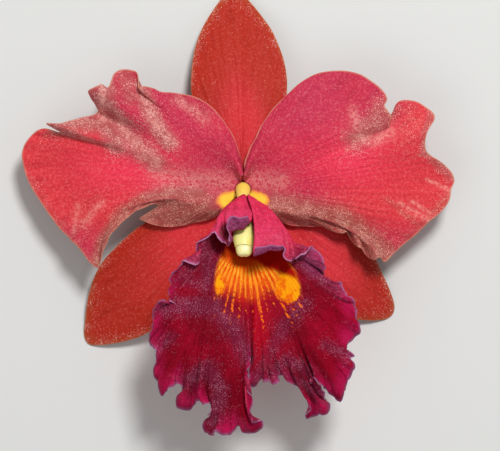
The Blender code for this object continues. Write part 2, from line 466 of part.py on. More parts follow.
def add_anther_cap(finish, flower):
    """A thin two-lobed hood on the column's end, open towards it: two domes joined by the rim."""
    end, side, up, ahead = tip_frame()
    seat = end + ahead * SEAT_GAP + up * CAP_LIFT
    around, levels = 16, 5

    def dome(wide, high, deep):
        rings = []
        for level in range(levels):
            lift = math.pi / 2 * level / levels
            ring = []
            for k in range(around):
                a = 2 * math.pi * k / around
                furrow = 1 - 0.10 * math.exp(-((math.cos(a) / 0.3) ** 2)) * math.sin(lift)
                flat = math.cos(lift) ** CAP_BLUNTNESS * furrow
                ring.append(
                    seat
                    + side * (wide * flat * math.cos(a))
                    + up * (high * flat * math.sin(a))
                    + ahead * (deep * math.sin(lift))
                )
            rings.append(ring)
        return rings, seat + ahead * (deep * 0.94)

    outer, outer_top = dome(CAP_WIDTH / 2, CAP_HEIGHT / 2, CAP_DEPTH)
    inner, inner_top = dome(CAP_WIDTH / 2 - CAP_WALL, CAP_HEIGHT / 2 - CAP_WALL, CAP_DEPTH - CAP_WALL)
    points = [p for ring in outer + inner for p in ring] + [outer_top, inner_top]
    half = levels * around
    faces = []
    for k in range(around):
        after = (k + 1) % around
        for level in range(levels - 1):
            low, high = level * around, (level + 1) * around
            faces.append((low + k, low + after, high + after, high + k))
            faces.append((half + high + k, half + high + after, half + low + after, half + low + k))
        last = (levels - 1) * around
        faces.append((last + k, last + after, 2 * half))
        faces.append((half + last + after, half + last + k, 2 * half + 1))
        faces.append((half + k, half + after, after, k))
    return add_object("anther_cap", points, faces, finish, flower)


def add_pollinium(name, across, above, finish, flower):
    """One waxy pollen mass, a flattened ball on the column's end under the cap."""
    end, side, up, ahead = tip_frame()
    centre = end + side * across + up * (above + CAP_LIFT) + ahead * (SEAT_GAP + POLLINIUM[2])
    around, levels = 8, 5
    points = [centre - ahead * POLLINIUM[2]]
    for level in range(1, levels):
        lift = math.pi * level / levels - math.pi / 2
        for k in range(around):
            a = 2 * math.pi * k / around
            points.append(
                centre
                + side * (POLLINIUM[0] * math.cos(lift) * math.cos(a))
                + up * (POLLINIUM[1] * math.cos(lift) * math.sin(a))
                + ahead * (POLLINIUM[2] * math.sin(lift))
            )
    points.append(centre + ahead * POLLINIUM[2])
    top = len(points) - 1
    faces = []
    for k in range(around):
        after = (k + 1) % around
        faces.append((0, 1 + after, 1 + k))
        for level in range(levels - 2):
            low = 1 + level * around
            faces.append((low + k, low + after, low + around + after, low + around + k))
        last = 1 + (levels - 2) * around
        faces.append((last + k, last + after, top))
    return add_object(name, points, faces, finish, flower)


# ---- the flower ----
def clear_scene():
    for thing in list(bpy.data.objects):
        bpy.data.objects.remove(thing)


def add_sepals(flower):
    finish = material("sepal_red", (0.48, 0.03, 0.02), 0.55)
    for name, claw, outline in (
        ("dorsal_sepal", (134, 46), DORSAL_SEPAL),
        ("lateral_sepal_left", (178, 266), LEFT_LATERAL_SEPAL),
        ("lateral_sepal_right", (364, 276), RIGHT_LATERAL_SEPAL),
    ):
        margin = with_sepal_height(outline)
        grid = fan_sheet(claw, SEPAL_LEVEL, margin, bend=2.0, dome=0.0, reach=8, rows=7, columns=20)
        add_sheet(name, grid, finish, flower)


def add_petals(flower):
    finish = material("petal_red", (0.62, 0.05, 0.08), 0.5)
    for name, claw, outline, bow in (
        ("petal_left", (98, 222), LEFT_PETAL, LEFT_PETAL_BOW),
        ("petal_right", (82, -42), RIGHT_PETAL, RIGHT_PETAL_BOW),
    ):
        grid = fan_sheet(claw, PETAL_LEVEL, outline, 1.5, 3.0, 22, rows=8, columns=70, bow=bow)
        add_sheet(name, grid, finish, flower)


def add_lip(flower):
    finish = material("lip_crimson", (0.25, 0.004, 0.03), 0.6)
    add_sheet("lip", lip_sheet(rows=11, columns=104), finish, flower)


def add_column(flower):
    pale = material("column_yellow", (0.9, 0.78, 0.25), 0.4)
    sections = [column_section(w, d) for w, d in zip(COLUMN_HALF_WIDTH, COLUMN_HALF_DEPTH)]
    loft("column", COLUMN_PATH, sections, pale, flower)
    add_anther_cap(material("anther_cream", (0.93, 0.88, 0.55), 0.4), flower)
    wax = material("pollen_yellow", (0.85, 0.6, 0.08), 0.5)
    for name, across, above in (
        ("pollinium_upper_left", -0.8, 0.55),
        ("pollinium_upper_right", 0.8, 0.55),
        ("pollinium_lower_left", -0.8, -0.55),
        ("pollinium_lower_right", 0.8, -0.55),
    ):
        add_pollinium(name, across, above, wax, flower)


def add_ovary(flower):
    green = material("stalk_green", (0.25, 0.3, 0.06), 0.5)
    sections = [ovary_section(r, d) for r, d in zip(OVARY_RADII, RIB_DEPTH)]
    loft("ovary_pedicel", OVARY_PATH, sections, green, flower)


def stand_on_surface(flower):
    """Moves the flower so that it touches z = 0 and the origin is under the middle of its box."""
    bpy.context.view_layer.update()
    graph = bpy.context.evaluated_depsgraph_get()
    corners = [
        piece.evaluated_get(graph).matrix_world @ Vector(corner)
        for piece in flower.children
        for corner in piece.evaluated_get(graph).bound_box
    ]
    low = [min(c[k] for c in corners) for k in range(3)]
    high = [max(c[k] for c in corners) for k in range(3)]
    flower.location = (-(low[0] + high[0]) / 2, -(low[1] + high[1]) / 2, -low[2])
    bpy.context.view_layer.update()


def main():
    clear_scene()
    flower = bpy.data.objects.new("flower", None)
    bpy.context.scene.collection.objects.link(flower)
    add_ovary(flower)
    add_sepals(flower)
    add_petals(flower)
    add_lip(flower)
    add_column(flower)
    stand_on_surface(flower)


main()
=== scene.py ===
"""Looks of the cattleya orchid flower: every sepal, petal and the lip as a fine ruffled sheet of its
own, with veins, sparkling cells and velvet, on a pale floor seen from straight above.

Sizes are in millimetres in the flower's own frame: the origin is the middle of the flower, +Z points
out of its face, +Y to the dorsal sepal's tip. to_row puts them in the row's frame, in metres.
"""

import math

import bpy
import numpy as np
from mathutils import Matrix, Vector


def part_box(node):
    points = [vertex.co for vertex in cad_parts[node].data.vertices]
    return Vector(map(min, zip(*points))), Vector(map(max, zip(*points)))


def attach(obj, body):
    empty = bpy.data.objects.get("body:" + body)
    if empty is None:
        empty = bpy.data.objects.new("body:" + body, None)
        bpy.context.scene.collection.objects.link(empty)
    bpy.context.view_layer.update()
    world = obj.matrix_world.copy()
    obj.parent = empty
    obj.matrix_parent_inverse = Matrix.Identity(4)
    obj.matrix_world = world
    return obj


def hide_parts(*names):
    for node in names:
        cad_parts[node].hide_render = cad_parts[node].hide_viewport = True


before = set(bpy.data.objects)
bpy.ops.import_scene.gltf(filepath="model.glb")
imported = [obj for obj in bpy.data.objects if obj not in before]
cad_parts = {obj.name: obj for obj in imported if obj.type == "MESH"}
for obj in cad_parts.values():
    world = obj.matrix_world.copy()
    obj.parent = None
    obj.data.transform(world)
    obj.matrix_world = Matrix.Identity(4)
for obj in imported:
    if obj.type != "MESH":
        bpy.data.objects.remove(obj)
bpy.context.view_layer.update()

MM = 0.001
CORE_RADIUS = 2.4  # top of the ovary, as in the solids
CORE_TOP = 1.6

# ---- where the flower's middle lies in the row's frame, from the ovary's box ----
ovary_low, ovary_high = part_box("ovary_pedicel")
ORIGIN = np.array([
    (ovary_low[0] + ovary_high[0]) / 2,
    ovary_high[1] - CORE_RADIUS * MM,
    ovary_high[2] - CORE_TOP * MM,
])

SHEET = 0.9  # thickness of a petal, a sepal and the lip
BLADE_RIM = 0.35  # what is left of it at a petal's or sepal's margin
LIP_RIM = 0.32
EDGE_ROUNDING = (0.8, 0.45)  # shares of the thickness that the two outermost rows keep
SEAT_GAP = 0.3
CLAW_RADIUS = CORE_RADIUS + 0.15
SEPAL_LEVEL = -2.4
PETAL_LEVEL = 0.9
SEPAL_DROP = 14.2

# ---- fineness of the grids ----
SEPAL_GRID = (70, 180)  # rows from the base to the margin, columns along the margin
PETAL_GRID = (100, 430)
LIP_GRID = (84, 570)
FINER = 4  # columns worked out for each one that is kept
FAIRING = 0.25  # millimetres over which a petal's or sepal's margin is smoothed
LIP_FAIRING = 0.12  # the same for the lip's frills
LIP_FAIRING_INSIDE = 22  # what is added to it towards the lip's base
LIP_FADE = (1.7, 1.7, 3.2)  # how fast the frills fade inwards, in x, y and height
UNFOLDING_ROUNDS = 220
LIP_DOME_TOP = (2, -35)
LIP_DOME_FALL = 0.0062  # millimetres of height lost per square millimetre away from the dome's top

# ---- outlines, each from the claw round the free margin and back to the claw ----
DORSAL_SEPAL = [
    (-4.6, 5.5), (-8.6, 13), (-13.2, 21.5), (-16.4, 30), (-16.7, 38), (-15.7, 45.3),
    (-13.9, 51), (-11.6, 55.5), (-8.2, 60.8), (-5.4, 64), (-2.9, 65.2), (-0.4, 63.8),
    (2.6, 60.8), (5.9, 56.7), (9.2, 52), (11.8, 46.1), (13.5, 40.4), (14.2, 33.5), (13.2, 24),
    (9.6, 14), (5, 6),
]
LEFT_LATERAL_SEPAL = [
    (-6, -0.5), (-14, -3.4), (-23, -6.8), (-31.4, -10.4), (-36.5, -14.1), (-41.6, -18.9),
    (-45.7, -23.6), (-48.6, -29.1), (-50.5, -35.7), (-51.3, -41.6), (-51.7, -47), (-50.3, -49.9),
    (-46.1, -50.2), (-41.6, -49.6), (-36.5, -48.4), (-32.1, -46.7), (-26, -43.3), (-18.5, -37),
    (-12, -28.5), (-6.6, -18.5), (-2.3, -8.5),
]
RIGHT_LATERAL_SEPAL = [
    (6, 0.2), (15, -1.6), (25, -5.5), (33, -10.5), (38.8, -16), (42.2, -21),
    (44.5, -25.8), (47.2, -31.4), (49.2, -37.6), (48.2, -40.9), (44.3, -42.2), (37, -41.8),
    (29, -39.5), (21, -34.5), (14, -27), (8.2, -18), (3, -8.5),
]
LEFT_PETAL = [
    (-0.4, 6.4, 1.6), (-0.6, 9.4, 1.8), (-1.4, 12.2, 2), (-3.2, 17.3, 2), (-6.4, 22.4, 1.5),
    (-9.9, 26.4, 1), (-13.5, 29, 0.5), (-17, 30.3, 0), (-21.6, 31.1, -0.5),
    (-26.7, 31.6, 0), (-29.5, 32.7, 1.2), (-31.8, 33.2, 2.6), (-33, 32.7, 2.4),
    (-33.4, 34.6, 0.5), (-33.9, 37.6, -1.5), (-35.6, 38.5, -2.5), (-39, 38.7, -2.8),
    (-41.3, 37.4, -1.5), (-42.1, 35.1, 1), (-42.7, 33.2, 3.2), (-43.7, 32.6, 4.8),
    (-44.6, 33.7, 5.8), (-47.1, 32.8, 6), (-49.4, 31.4, 5.2), (-48.7, 29.2, 3),
    (-47.2, 26.9, 0.2), (-46.5, 25.2, -1.8), (-48.5, 24, -1.2), (-52.3, 23.1, 1),
    (-55.8, 21.9, 2.4), (-58.9, 21.2, 3), (-62.6, 21.4, 3), (-62.4, 20.7, 1.8),
    (-58.6, 19.2, 1), (-58.8, 18.6, -0.8), (-62, 19.4, -2), (-64.5, 19.7, -2.5),
    (-66.8, 18.7, -3), (-69.6, 15.7, -4), (-71.1, 12.4, -4.6), (-70.9, 9, -5),
    (-70.1, 5.6, -5), (-68.3, 1.2, -4.5), (-65.5, -3.2, -3.8), (-62, -8.3, -3),
    (-58.9, -12.4, -3.2), (-56.4, -14.8, -2), (-55, -16.4, -0.2), (-53.6, -17.4, 0.4),
    (-51.2, -20.5, -0.8), (-48.7, -23.6, -0.5), (-46.4, -25, 0.2), (-45.2, -21.5, 2),
    (-43.8, -17.9, 3.4), (-42, -14.4, 4), (-39.6, -11.5, 4), (-36.8, -8.9, 4),
    (-33.2, -6.3, 4), (-29, -4.6, 4), (-27, -4.9, 2.6), (-29, -6.4, 0.6),
    (-32, -8.2, -0.8), (-33.2, -9.2, -1.8), (-31.6, -10, -2.2), (-28.8, -11.1, -2),
    (-24.2, -11.8, -1.6), (-19, -11.2, -1.5), (-14, -10.2, -1), (-9.2, -8.8, -0.4),
]
RIGHT_PETAL = [
    (0.6, 6.2, 2.6), (0.9, 9.2, 3), (2.1, 12.7, 2.8), (4.3, 17.3, 2.4), (6.4, 21.4, 2),
    (9.1, 25.4, 1.5), (12.7, 29.2, 1), (16.3, 32.8, 0.5), (19.8, 35.4, 0), (23.9, 37.4, -0.5),
    (28.5, 38.2, -1), (33.6, 38.1, -1), (37.7, 36.9, 0), (40.7, 35.1, 1), (43.3, 33.1, 2),
    (45.5, 30.6, 3), (46, 28.6, 3.5), (45.1, 27, 4), (46.2, 25.2, 4), (47.4, 23.4, 3.6),
    (46.6, 20.9, 2.4), (47, 20.4, 0.2), (47.7, 22.8, -1.4), (48.3, 25.4, -2.2),
    (48.9, 27.4, -2.5), (50.4, 28.7, -2.5), (53, 28.9, -2), (56, 28.2, -1),
    (58.6, 26.5, 0), (60.9, 24.6, 1), (61.3, 22.7, 1.5), (60.1, 20.6, 2), (58.8, 18.2, 2),
    (58.2, 15.4, 1.5), (58.5, 12.9, 0.5), (60.1, 11.1, -0.5), (62.7, 9.6, -1.5), (65.2, 7.6, -2.5),
    (67.3, 5.2, -3.5), (67.9, 2.8, -4), (66.9, 0.4, -3.6), (66.4, -2.7, -3.5), (64.7, -5.7, -3.5),
    (62.2, -8.3, -3), (59.6, -10.2, -2.5), (57, -12.9, -2.5), (54, -15.6, -3),
    (51, -17.9, -3), (47.9, -21, -3), (45.4, -23.2, -2.8), (44.2, -21.8, -0.6),
    (43.2, -21.6, 0.4), (42, -22.5, -0.6), (39.4, -20.9, -2.6), (38, -18.9, -0.6),
    (37.3, -18.5, 0.6), (36.2, -17.8, -0.8), (34.7, -16.1, -2.6), (33.9, -14.1, -0.8),
    (33.3, -13.3, 0.6), (31.6, -14, 0.3), (28.5, -13.1, -0.8), (24.4, -11.8, -1.5),
    (20.3, -11.6, -1.5), (16.3, -11.5, -1), (12.6, -10.4, -0.4), (9, -8.6, 0.2),
]
# The veins bow on their way out, so that they reach a lobe beside a crease from its own side. Each
# entry is a share of the margin, how far up the vein that ends there bows at two thirds of its way,
# and how far to the right and up it bows close to its end.
LEFT_PETAL_BOW = [
    (0, 0, 0, 0), (0.18, 0, 0, 0), (0.2, 0, -2.5, 2), (0.215, 0, -3, 0), (0.25, 0, -1, 0),
    (0.28, 0, 0, 0), (0.5, 0, 0, 0), (0.6, 4, 0, 0), (0.65, 7.3, 0, 0), (0.7, 10.2, 0, 0),
    (0.73, 10.8, -1, 0), (0.75, 9.5, -4, 0), (0.77, 7, -3, 1), (0.8, 3.8, -1.5, 2),
    (0.83, 1.2, 0, 2), (0.86, 0, 0, 0), (1, 0, 0, 0),
]
RIGHT_PETAL_BOW = [
    (0, 0, 0, 0), (0.33, 0, 0, 0), (0.36, -0.5, -1, 0), (0.375, -1, 2, -3), (0.4, -1.5, 2.5, -3),
    (0.44, -1.5, 0, 0), (0.5, -1, 0, 0), (0.6, 0, 0, 0), (0.68, 0, 0, 0), (0.77, 2.8, 0.5, 1),
    (0.8, 2.2, 2, 2), (0.83, 1.8, 2, 2), (0.87, 0.5, 2, 2), (0.9, 0, 0, 0), (1, 0, 0, 0),
]
NO_BOW = [(0, 0, 0, 0), (1, 0, 0, 0)]

# ---- the lip: lines from its base to its margin, from the roof's left edge round to its right ----
LIP_RINGS = (0, 0.2, 0.4, 0.6, 0.8, 0.92, 1)
LIP_LINES = {
    "roof_left": [
        (-2.1, -2.3, 2.4), (-2.7, -3.9, 8.8), (0.6, -1.7, 12), (2.6, -5.6, 15.4),
        (2.9, -8.1, 18.7), (2.4, -10.8, 21.2), (1.8, -9, 23),
    ],
    "fold_left": [
        (-1.9, -2.5, 2.4), (-3.3, -4.5, 8), (-3.2, -4.1, 13), (-3.6, -6.4, 17.4),
        (-4, -9.6, 20.9), (-2.5, -12.8, 22.8), (-4.2, -9.2, 25.2),
    ],
    "cheek_left": [
        (-1.6, -2.7, 2.4), (-4.2, -5.2, 7.8), (-6, -6.6, 13.6), (-7.5, -9.4, 18),
        (-8.3, -11.8, 20.9), (-8.9, -13, 22.3), (-9.4, -13.8, 23.2),
    ],
    "shoulder_left": [
        (-1.2, -2.9, 2.4), (-4.8, -7, 7.4), (-8.9, -13.5, 14.6), (-12.4, -20.5, 19.5),
        (-17, -25.5, 19.6), (-20.4, -28.8, 18), (-23, -31.3, 16),
    ],
    "side_left": [
        (-0.7, -3, 2.4), (-4, -9.4, 6.2), (-8.2, -19, 14.4), (-10.8, -32, 19.8),
        (-14, -50, 20.4), (-16.2, -61, 17.2), (-17.3, -70.4, 13),
    ],
    "middle": [
        (0, -3.05, 2.4), (0.3, -10, 5.2), (0.8, -21, 12.6), (1.5, -31.5, 19),
        (2, -42.5, 22.4), (2.3, -48.5, 22.4), (2.6, -52.4, 21.4),
    ],
    "side_right": [
        (0.7, -3, 2.4), (4.6, -9.4, 6.2), (9.6, -19, 14.4), (13.8, -31.5, 19.6),
        (20.4, -48, 19.6), (25.4, -58.5, 16.6), (29.8, -66.9, 12.6),
    ],
    "shoulder_right": [
        (1.2, -2.9, 2.4), (5.4, -7, 7.6), (11.6, -13.5, 15.6), (15.4, -20.5, 19.8),
        (20.6, -24.4, 19.4), (24.6, -26.8, 17.6), (28, -28.4, 15.6),
    ],
    "cheek_right": [
        (1.6, -2.7, 2.4), (4.4, -4.4, 8.4), (8.4, -6.4, 15.2), (11.4, -10.6, 20.4),
        (13.2, -15.2, 23.6), (13.8, -19.8, 25.4), (13.2, -19.4, 27.3),
    ],
    "roof_right": [
        (2.1, -2.3, 2.4), (2.9, -2.8, 8.8), (1.3, -2, 13.6), (2.9, -7.2, 19.2),
        (3.6, -13.8, 24.4), (3.2, -20.2, 27.1), (3.9, -17.7, 29),
    ],
}
LIP_MARGIN = [
    # the roof's left front edge, rolled back
    [(-0.4, -8.3, 24.2), (-2.8, -8.2, 25)],
    # down the fold to the left cheek
    [(-4.5, -11.5, 24.8), (-4.6, -14.2, 23.6), (-5.2, -16.7, 22), (-6.8, -16.4, 21.2),
     (-8.6, -15, 22)],
    # left shoulder
    [(-12, -14.9, 22.4), (-13.9, -16.3, 21), (-14.8, -18.3, 19.8), (-14.8, -20.2, 19.6),
     (-13.9, -22, 20.4), (-13.6, -23.2, 21.6), (-14.6, -23.8, 22.6), (-16.2, -23.4, 22.8),
     (-18, -22.7, 22), (-19.4, -23.4, 20.4), (-20.6, -24.9, 18.8), (-22.6, -26.4, 17.4),
     (-23.5, -28.1, 16.8), (-22.7, -29.6, 16.8)],
    # left side, down to the two hooked lobes
    [(-23.4, -33.2, 16.4), (-22.4, -34.7, 17.6), (-20.8, -35.3, 18.6), (-20, -35.9, 19.6),
     (-21.4, -36.4, 20.2), (-23.7, -35.8, 19.6), (-25.9, -34.7, 18.4), (-27.6, -36.4, 16.4),
     (-28.7, -37.9, 15), (-29.4, -40.2, 14.8), (-28.3, -41.1, 16.4), (-28.4, -42, 17.2),
     (-29.2, -43, 16.2), (-28.5, -44.2, 15.2), (-29.5, -46, 14.2), (-29.8, -48.2, 14.4),
     (-28.4, -50.2, 16.2), (-27.2, -50.6, 17.4), (-27.6, -52.2, 16.2), (-27.3, -54.8, 14.4),
     (-28.7, -56.7, 13.8), (-28.1, -58.6, 13.4), (-27.8, -60.7, 13.2), (-26.4, -62.4, 13.6),
     (-26.1, -64.2, 13.4), (-25.2, -65.4, 13.6), (-24, -63.5, 15.2), (-22.6, -62.2, 16.6),
     (-20.7, -61.6, 17.2), (-18.8, -62.1, 16.8), (-19.6, -63, 15), (-20.1, -64.4, 13.8),
     (-21, -65.9, 12.8), (-20.8, -67.8, 12), (-19.2, -69.5, 12.2)],
    # the long front lobe, and up into the cleft in the middle
    [(-16.1, -69.1, 14), (-14.6, -67.4, 15.2), (-12.6, -66.5, 15.8), (-10.9, -67.1, 16),
     (-9.8, -68.8, 15.4), (-10.2, -70.8, 14.2), (-11.4, -72.7, 12.6), (-12.6, -74.6, 11.4),
     (-11.9, -76.8, 11), (-10.2, -78.1, 11.6), (-8.5, -76.9, 13.4), (-6.5, -77.6, 13.6),
     (-4.1, -78.1, 13), (-2.4, -76.4, 12), (-1.1, -75.4, 11.2), (0.2, -76.6, 10.4),
     (2.6, -77.2, 10.6), (5.2, -76.6, 12), (6.2, -75.4, 13.4), (5.6, -74.2, 14.2),
     (4.2, -72.8, 15), (3, -70.6, 16), (2, -67.4, 17.4), (1.4, -63.4, 19),
     (1.2, -58.6, 20.8)],
    # out of the cleft, the short right front and its pointed flap, to the slit beside it
    [(2.2, -55.6, 19.4), (1.9, -59.2, 18.2), (2, -62.2, 17.4), (3.8, -62.3, 17),
     (5.4, -61, 17.4), (7, -60.3, 18.4), (9.1, -61, 19.4), (10.7, -61.1, 19.4),
     (11.8, -60.2, 18.6), (11.4, -58.9, 17.2), (12.4, -58.8, 16.6), (13.9, -59.9, 16),
     (16.3, -62, 15.2), (18.4, -64.4, 14.2), (20, -66.8, 13.2), (20.7, -69.4, 12.2),
     (20.4, -73.2, 11), (22.1, -72.5, 10.6), (24.5, -71.2, 10), (27, -69.7, 9.6),
     (28.3, -68.2, 9.8), (25.4, -64.8, 11.6), (22.6, -61.4, 13.8), (21, -59.4, 16.2),
     (23.8, -61, 15.8), (27.2, -64.4, 14)],
    # right side
    [(31, -65.9, 12.2), (32.5, -63.1, 12.4), (33.8, -60.4, 13), (35.1, -57.5, 13),
     (35.2, -54.8, 13.6), (34.3, -53.6, 15.2), (35.6, -52.8, 15.6), (34.5, -51.5, 15.4),
     (32.9, -50.5, 15.4), (33.5, -48.9, 14.4), (35.6, -48, 13), (37, -46.4, 12.8),
     (37, -44.4, 13.4), (36.9, -42.4, 14.2), (36.1, -40.4, 14.8), (36.4, -38.2, 14.2),
     (35.5, -35.6, 14.6), (34.4, -33.8, 16.2), (33, -33.6, 17.8), (32.1, -32.6, 18.4),
     (31.8, -31, 17), (31.2, -29.3, 15.8), (30.2, -29, 16.2), (29.2, -29.6, 17)],
    # right shoulder and the curl under the roof
    [(26.7, -27.3, 15.6), (25.4, -26, 16.6), (25.6, -24.3, 17.4), (25.2, -22.1, 18.4),
     (23.9, -20, 19.6), (22.1, -18.6, 20.8), (20.3, -18.2, 21.8), (18.5, -18.9, 22.8),
     (17.3, -20.3, 23.8), (16.2, -22.1, 24.6), (15, -23.1, 25.4), (14.1, -22.6, 26.2),
     (13.4, -21, 27)],
    # the roof's right front edge, rolled back
    [(11.8, -17.7, 27.8), (9.9, -17.4, 28.4), (7.8, -17.9, 28.6), (5.9, -17.6, 28.9)],
]

# ---- bands where the surface turns and its cells glitter: painted sheen and shade, in part the sheet's own tint: points, width, strength ----
LEFT_PETAL_DUST_AND_SHEEN = [
    ([(-33, 33), (-30, 25), (-24, 15)], 3.2, 0.9),
    ([(-44, 33), (-43, 25), (-38, 18), (-28, 9)], 4, 0.9),
    ([(-60, 21), (-50, 22), (-44, 21), (-40, 15)], 4, 1),
    ([(-46.4, -24), (-44, -16), (-38, -8), (-31, -3.5), (-24, -1.5), (-14, -1.5)], 3.2, 1),
    ([(-31, -9), (-22, -8), (-12, -6)], 5, 1),
    ([(-22, 30), (-12, 24)], 3.5, 0.4),
    ([(-38, 38), (-36, 30)], 4.5, 0.6),
    ([(-48, -6), (-53, -14)], 5, 0.25),
    ([(-70, 4), (-64, -5.5), (-57, -14), (-50, -22)], 3, 0.42),
    ([(-4, 2), (-12, 2.5), (-22, 2)], 5.5, 0.15),
]
RIGHT_PETAL_DUST_AND_SHEEN = [
    ([(45, -21), (38, -15), (31, -9.5), (22, -7.5), (10, -5.5)], 5.2, 1),
    ([(46, 26), (42, 21), (36, 16)], 5, 0.75),
    ([(61, 25), (58.5, 18), (58.5, 13), (67, 4.5)], 2.4, 0.7),
    ([(56, -11), (46, -3)], 1.4, 0.45),
    ([(54, 26), (52, 17)], 5, 0.3),
    ([(67, 0), (62, -7.5), (54, -14.5), (46.5, -21.5)], 2.6, 0.45),
    ([(4, 3), (11, 2)], 5, 0.15),
]
# ---- pale streaks on the petals, along folds that catch the light ----
LEFT_PETAL_GLEAM = [
    ([(-44.6, 32.8), (-45, 22.4)], 1.2, 1),
    ([(-39.4, 20.8), (-34, 14), (-28.2, 9.6)], 1.6, 0.6),
    ([(-33, 32.8), (-28.2, 20.8), (-21, 14.4)], 1.4, 0.8),
    ([(-53, -4.8), (-54.2, -13.6)], 0.9, 0.6),
    ([(-45, -4), (-51.4, -11.2)], 1.1, 0.7),
    ([(-20, 28), (-12, 22)], 1.6, 0.5),
    ([(-5, 2.5), (-16, 3.5), (-26, 4.5)], 3.4, 0.6),
]
RIGHT_PETAL_GLEAM = [
    ([(35, 25.6), (36.6, 17.6), (42.2, 15.2), (47, 18.4)], 1.6, 0.7),
    ([(50.2, -4), (59.8, -9.9)], 0.7, 0.9),
    ([(54, -3.6), (60, -7.4)], 0.6, 0.8),
    ([(59, 3.4), (67, -0.3)], 0.6, 0.9),
    ([(4, 3), (12, 2.5)], 3.4, 0.6),
]
LIP_DUST_AND_SHEEN = [
    ([(-24, -37), (-17, -36.5), (-9, -37), (-3, -43), (1, -52)], 4.2, 0.8),
    ([(-28, -51), (-22, -46)], 2.6, 0.6),
    ([(-19, -61), (-11, -56), (-7, -63), (-9, -72)], 3.6, 0.75),
    ([(19, -36), (13, -43), (8, -52), (4, -60)], 3.6, 0.65),
    ([(9, -58), (14, -53), (20, -57)], 3, 0.7),
    ([(4, -61), (13, -58.5), (19, -61), (27, -67)], 2, 0.7),
    ([(34, -52.5), (26, -49)], 2.6, 0.7),
    ([(18, -21), (23, -26), (30, -31)], 3.6, 0.8),
    ([(-14, -22), (-19, -28), (-13, -30)], 3.6, 0.6),
    ([(-11.5, -17), (-10.5, -23), (-12, -30)], 3.4, 0.75),
]


# ---- curves and masks ----
def spline(points, knots, at):
    """A smooth curve through points (at the given knots), read at the places in `at`."""
    points, knots, at = (np.asarray(values, float) for values in (points, knots, at))
    slope = np.empty_like(points)
    slope[1:-1] = (points[2:] - points[:-2]) / (knots[2:] - knots[:-2])[:, None]
    slope[0] = (points[1] - points[0]) / (knots[1] - knots[0])
    slope[-1] = (points[-1] - points[-2]) / (knots[-1] - knots[-2])
    i = np.clip(np.searchsorted(knots, at, side="right") - 1, 0, len(knots) - 2)
    width = (knots[i + 1] - knots[i])[:, None]
    t = (at - knots[i])[:, None] / width
    return (
        points[i] * (2 * t**3 - 3 * t**2 + 1)
        + points[i + 1] * (3 * t**2 - 2 * t**3)
        + slope[i] * width * (t**3 - 2 * t**2 + t)
        + slope[i + 1] * width * (t**3 - t**2)
    )


def lengths_along(points, power=1):
    """How far along the points each one lies, with every step between two taken to that power."""
    steps = np.linalg.norm(np.diff(points, axis=0), axis=1) ** power
    return np.concatenate([[0], np.cumsum(steps)])


def resampled(points, places, at):
    """Points that lie at `places` along their line, read at other places on it."""
    return np.stack([np.interp(at, places, column) for column in points.T], axis=1)


def smooth_path(points, count):
    """`count` points at even spacing along a smooth curve; columns past the third ride along."""
    points = np.asarray(points, float)
    knots = lengths_along(points[:, :3], 0.5)
    dense = spline(points, knots, np.linspace(0, knots[-1], 40 * len(points)))
    run = lengths_along(dense[:, :3])
    return resampled(dense, run, np.linspace(0, run[-1], count))


def blurred(points, width):
    """Points averaged with their neighbours over `width` steps, with both ends held still."""
    if width < 0.3:
        return points
    reach = min(int(3 * width) + 1, len(points) - 1)
    before = 2 * points[0] - points[reach:0:-1]
    after = 2 * points[-1] - points[-2 : -reach - 2 : -1]
    padded = np.concatenate([before, points, after])
    weights = np.exp(-0.5 * (np.arange(-reach, reach + 1) / width) ** 2)
    weights /= weights.sum()
    return np.stack([np.convolve(column, weights, mode="valid") for column in padded.T], axis=1)


def waves(place, wavelength, seed, parts=5):
    """A smooth random wave along `place`, between about -1 and 1."""
    draw = np.random.default_rng(seed)
    total = np.zeros_like(place)
    for _ in range(parts):
        length = wavelength * draw.uniform(0.7, 1.5)
        total += np.sin(2 * math.pi * (place / length + draw.uniform()))
    return total / math.sqrt(parts) / 1.3


def unit(vectors):
    return vectors / np.maximum(np.linalg.norm(vectors, axis=-1, keepdims=True), 1e-9)


def smoothstep(low, high, value):
    t = np.clip((value - low) / (high - low), 0, 1)
    return t * t * (3 - 2 * t)


def window(value, start, rise, fall, end):
    """0 up to start, 1 from rise to fall and 0 again from end on."""
    return smoothstep(start, rise, value) * smoothstep(end, fall, value)


def bell(distance, width, power=2):
    """1 at no distance, falling smoothly to about a third at `width`."""
    return np.exp(-((distance / width) ** power))


def oval(x, y, centre, size):
    """How far out each place lies from an oval's centre: 1 on the oval with those half-sizes."""
    return np.hypot((x - centre[0]) / size[0], (y - centre[1]) / size[1])


def stroke_mask(x, y, strokes):
    """1 on the bands that the strokes paint, fading to 0 beside them."""
    mask = np.zeros_like(x)
    for points, width, strength in strokes:
        nearest = np.full_like(x, 1e9)
        for (ax, ay), (bx, by) in zip(points, points[1:]):
            right, up = bx - ax, by - ay
            share = np.clip(((x - ax) * right + (y - ay) * up) / (right**2 + up**2), 0, 1)
            nearest = np.minimum(nearest, np.hypot(x - ax - share * right, y - ay - share * up))
        mask = np.maximum(mask, strength * bell(nearest, width))
    return mask


# ---- grids: rows from the base to the margin, columns along the margin ----
def grid_normals(grid):
    """The grid's normals on its inner side, and whether its faces must be turned over for that."""
    along = np.gradient(grid, axis=0)
    across = np.gradient(grid, axis=1)
    normal = unit(np.cross(across, along))
    middle = normal[normal.shape[0] // 2 :, normal.shape[1] // 4 : -normal.shape[1] // 4]
    turned = middle[..., 2].mean() < 0
    return (-normal if turned else normal), turned


def pushed(grid, height):
    """The grid with every point moved out along its normal by that height."""
    return grid + grid_normals(grid)[0] * height[..., None]


def edge_distance(grid):
    """Distance from each grid point out to the free margin along its column, in millimetres."""
    steps = np.linalg.norm(np.diff(grid, axis=0), axis=2)
    run = np.concatenate([np.zeros((1, grid.shape[1])), np.cumsum(steps, axis=0)])
    return run[-1] - run


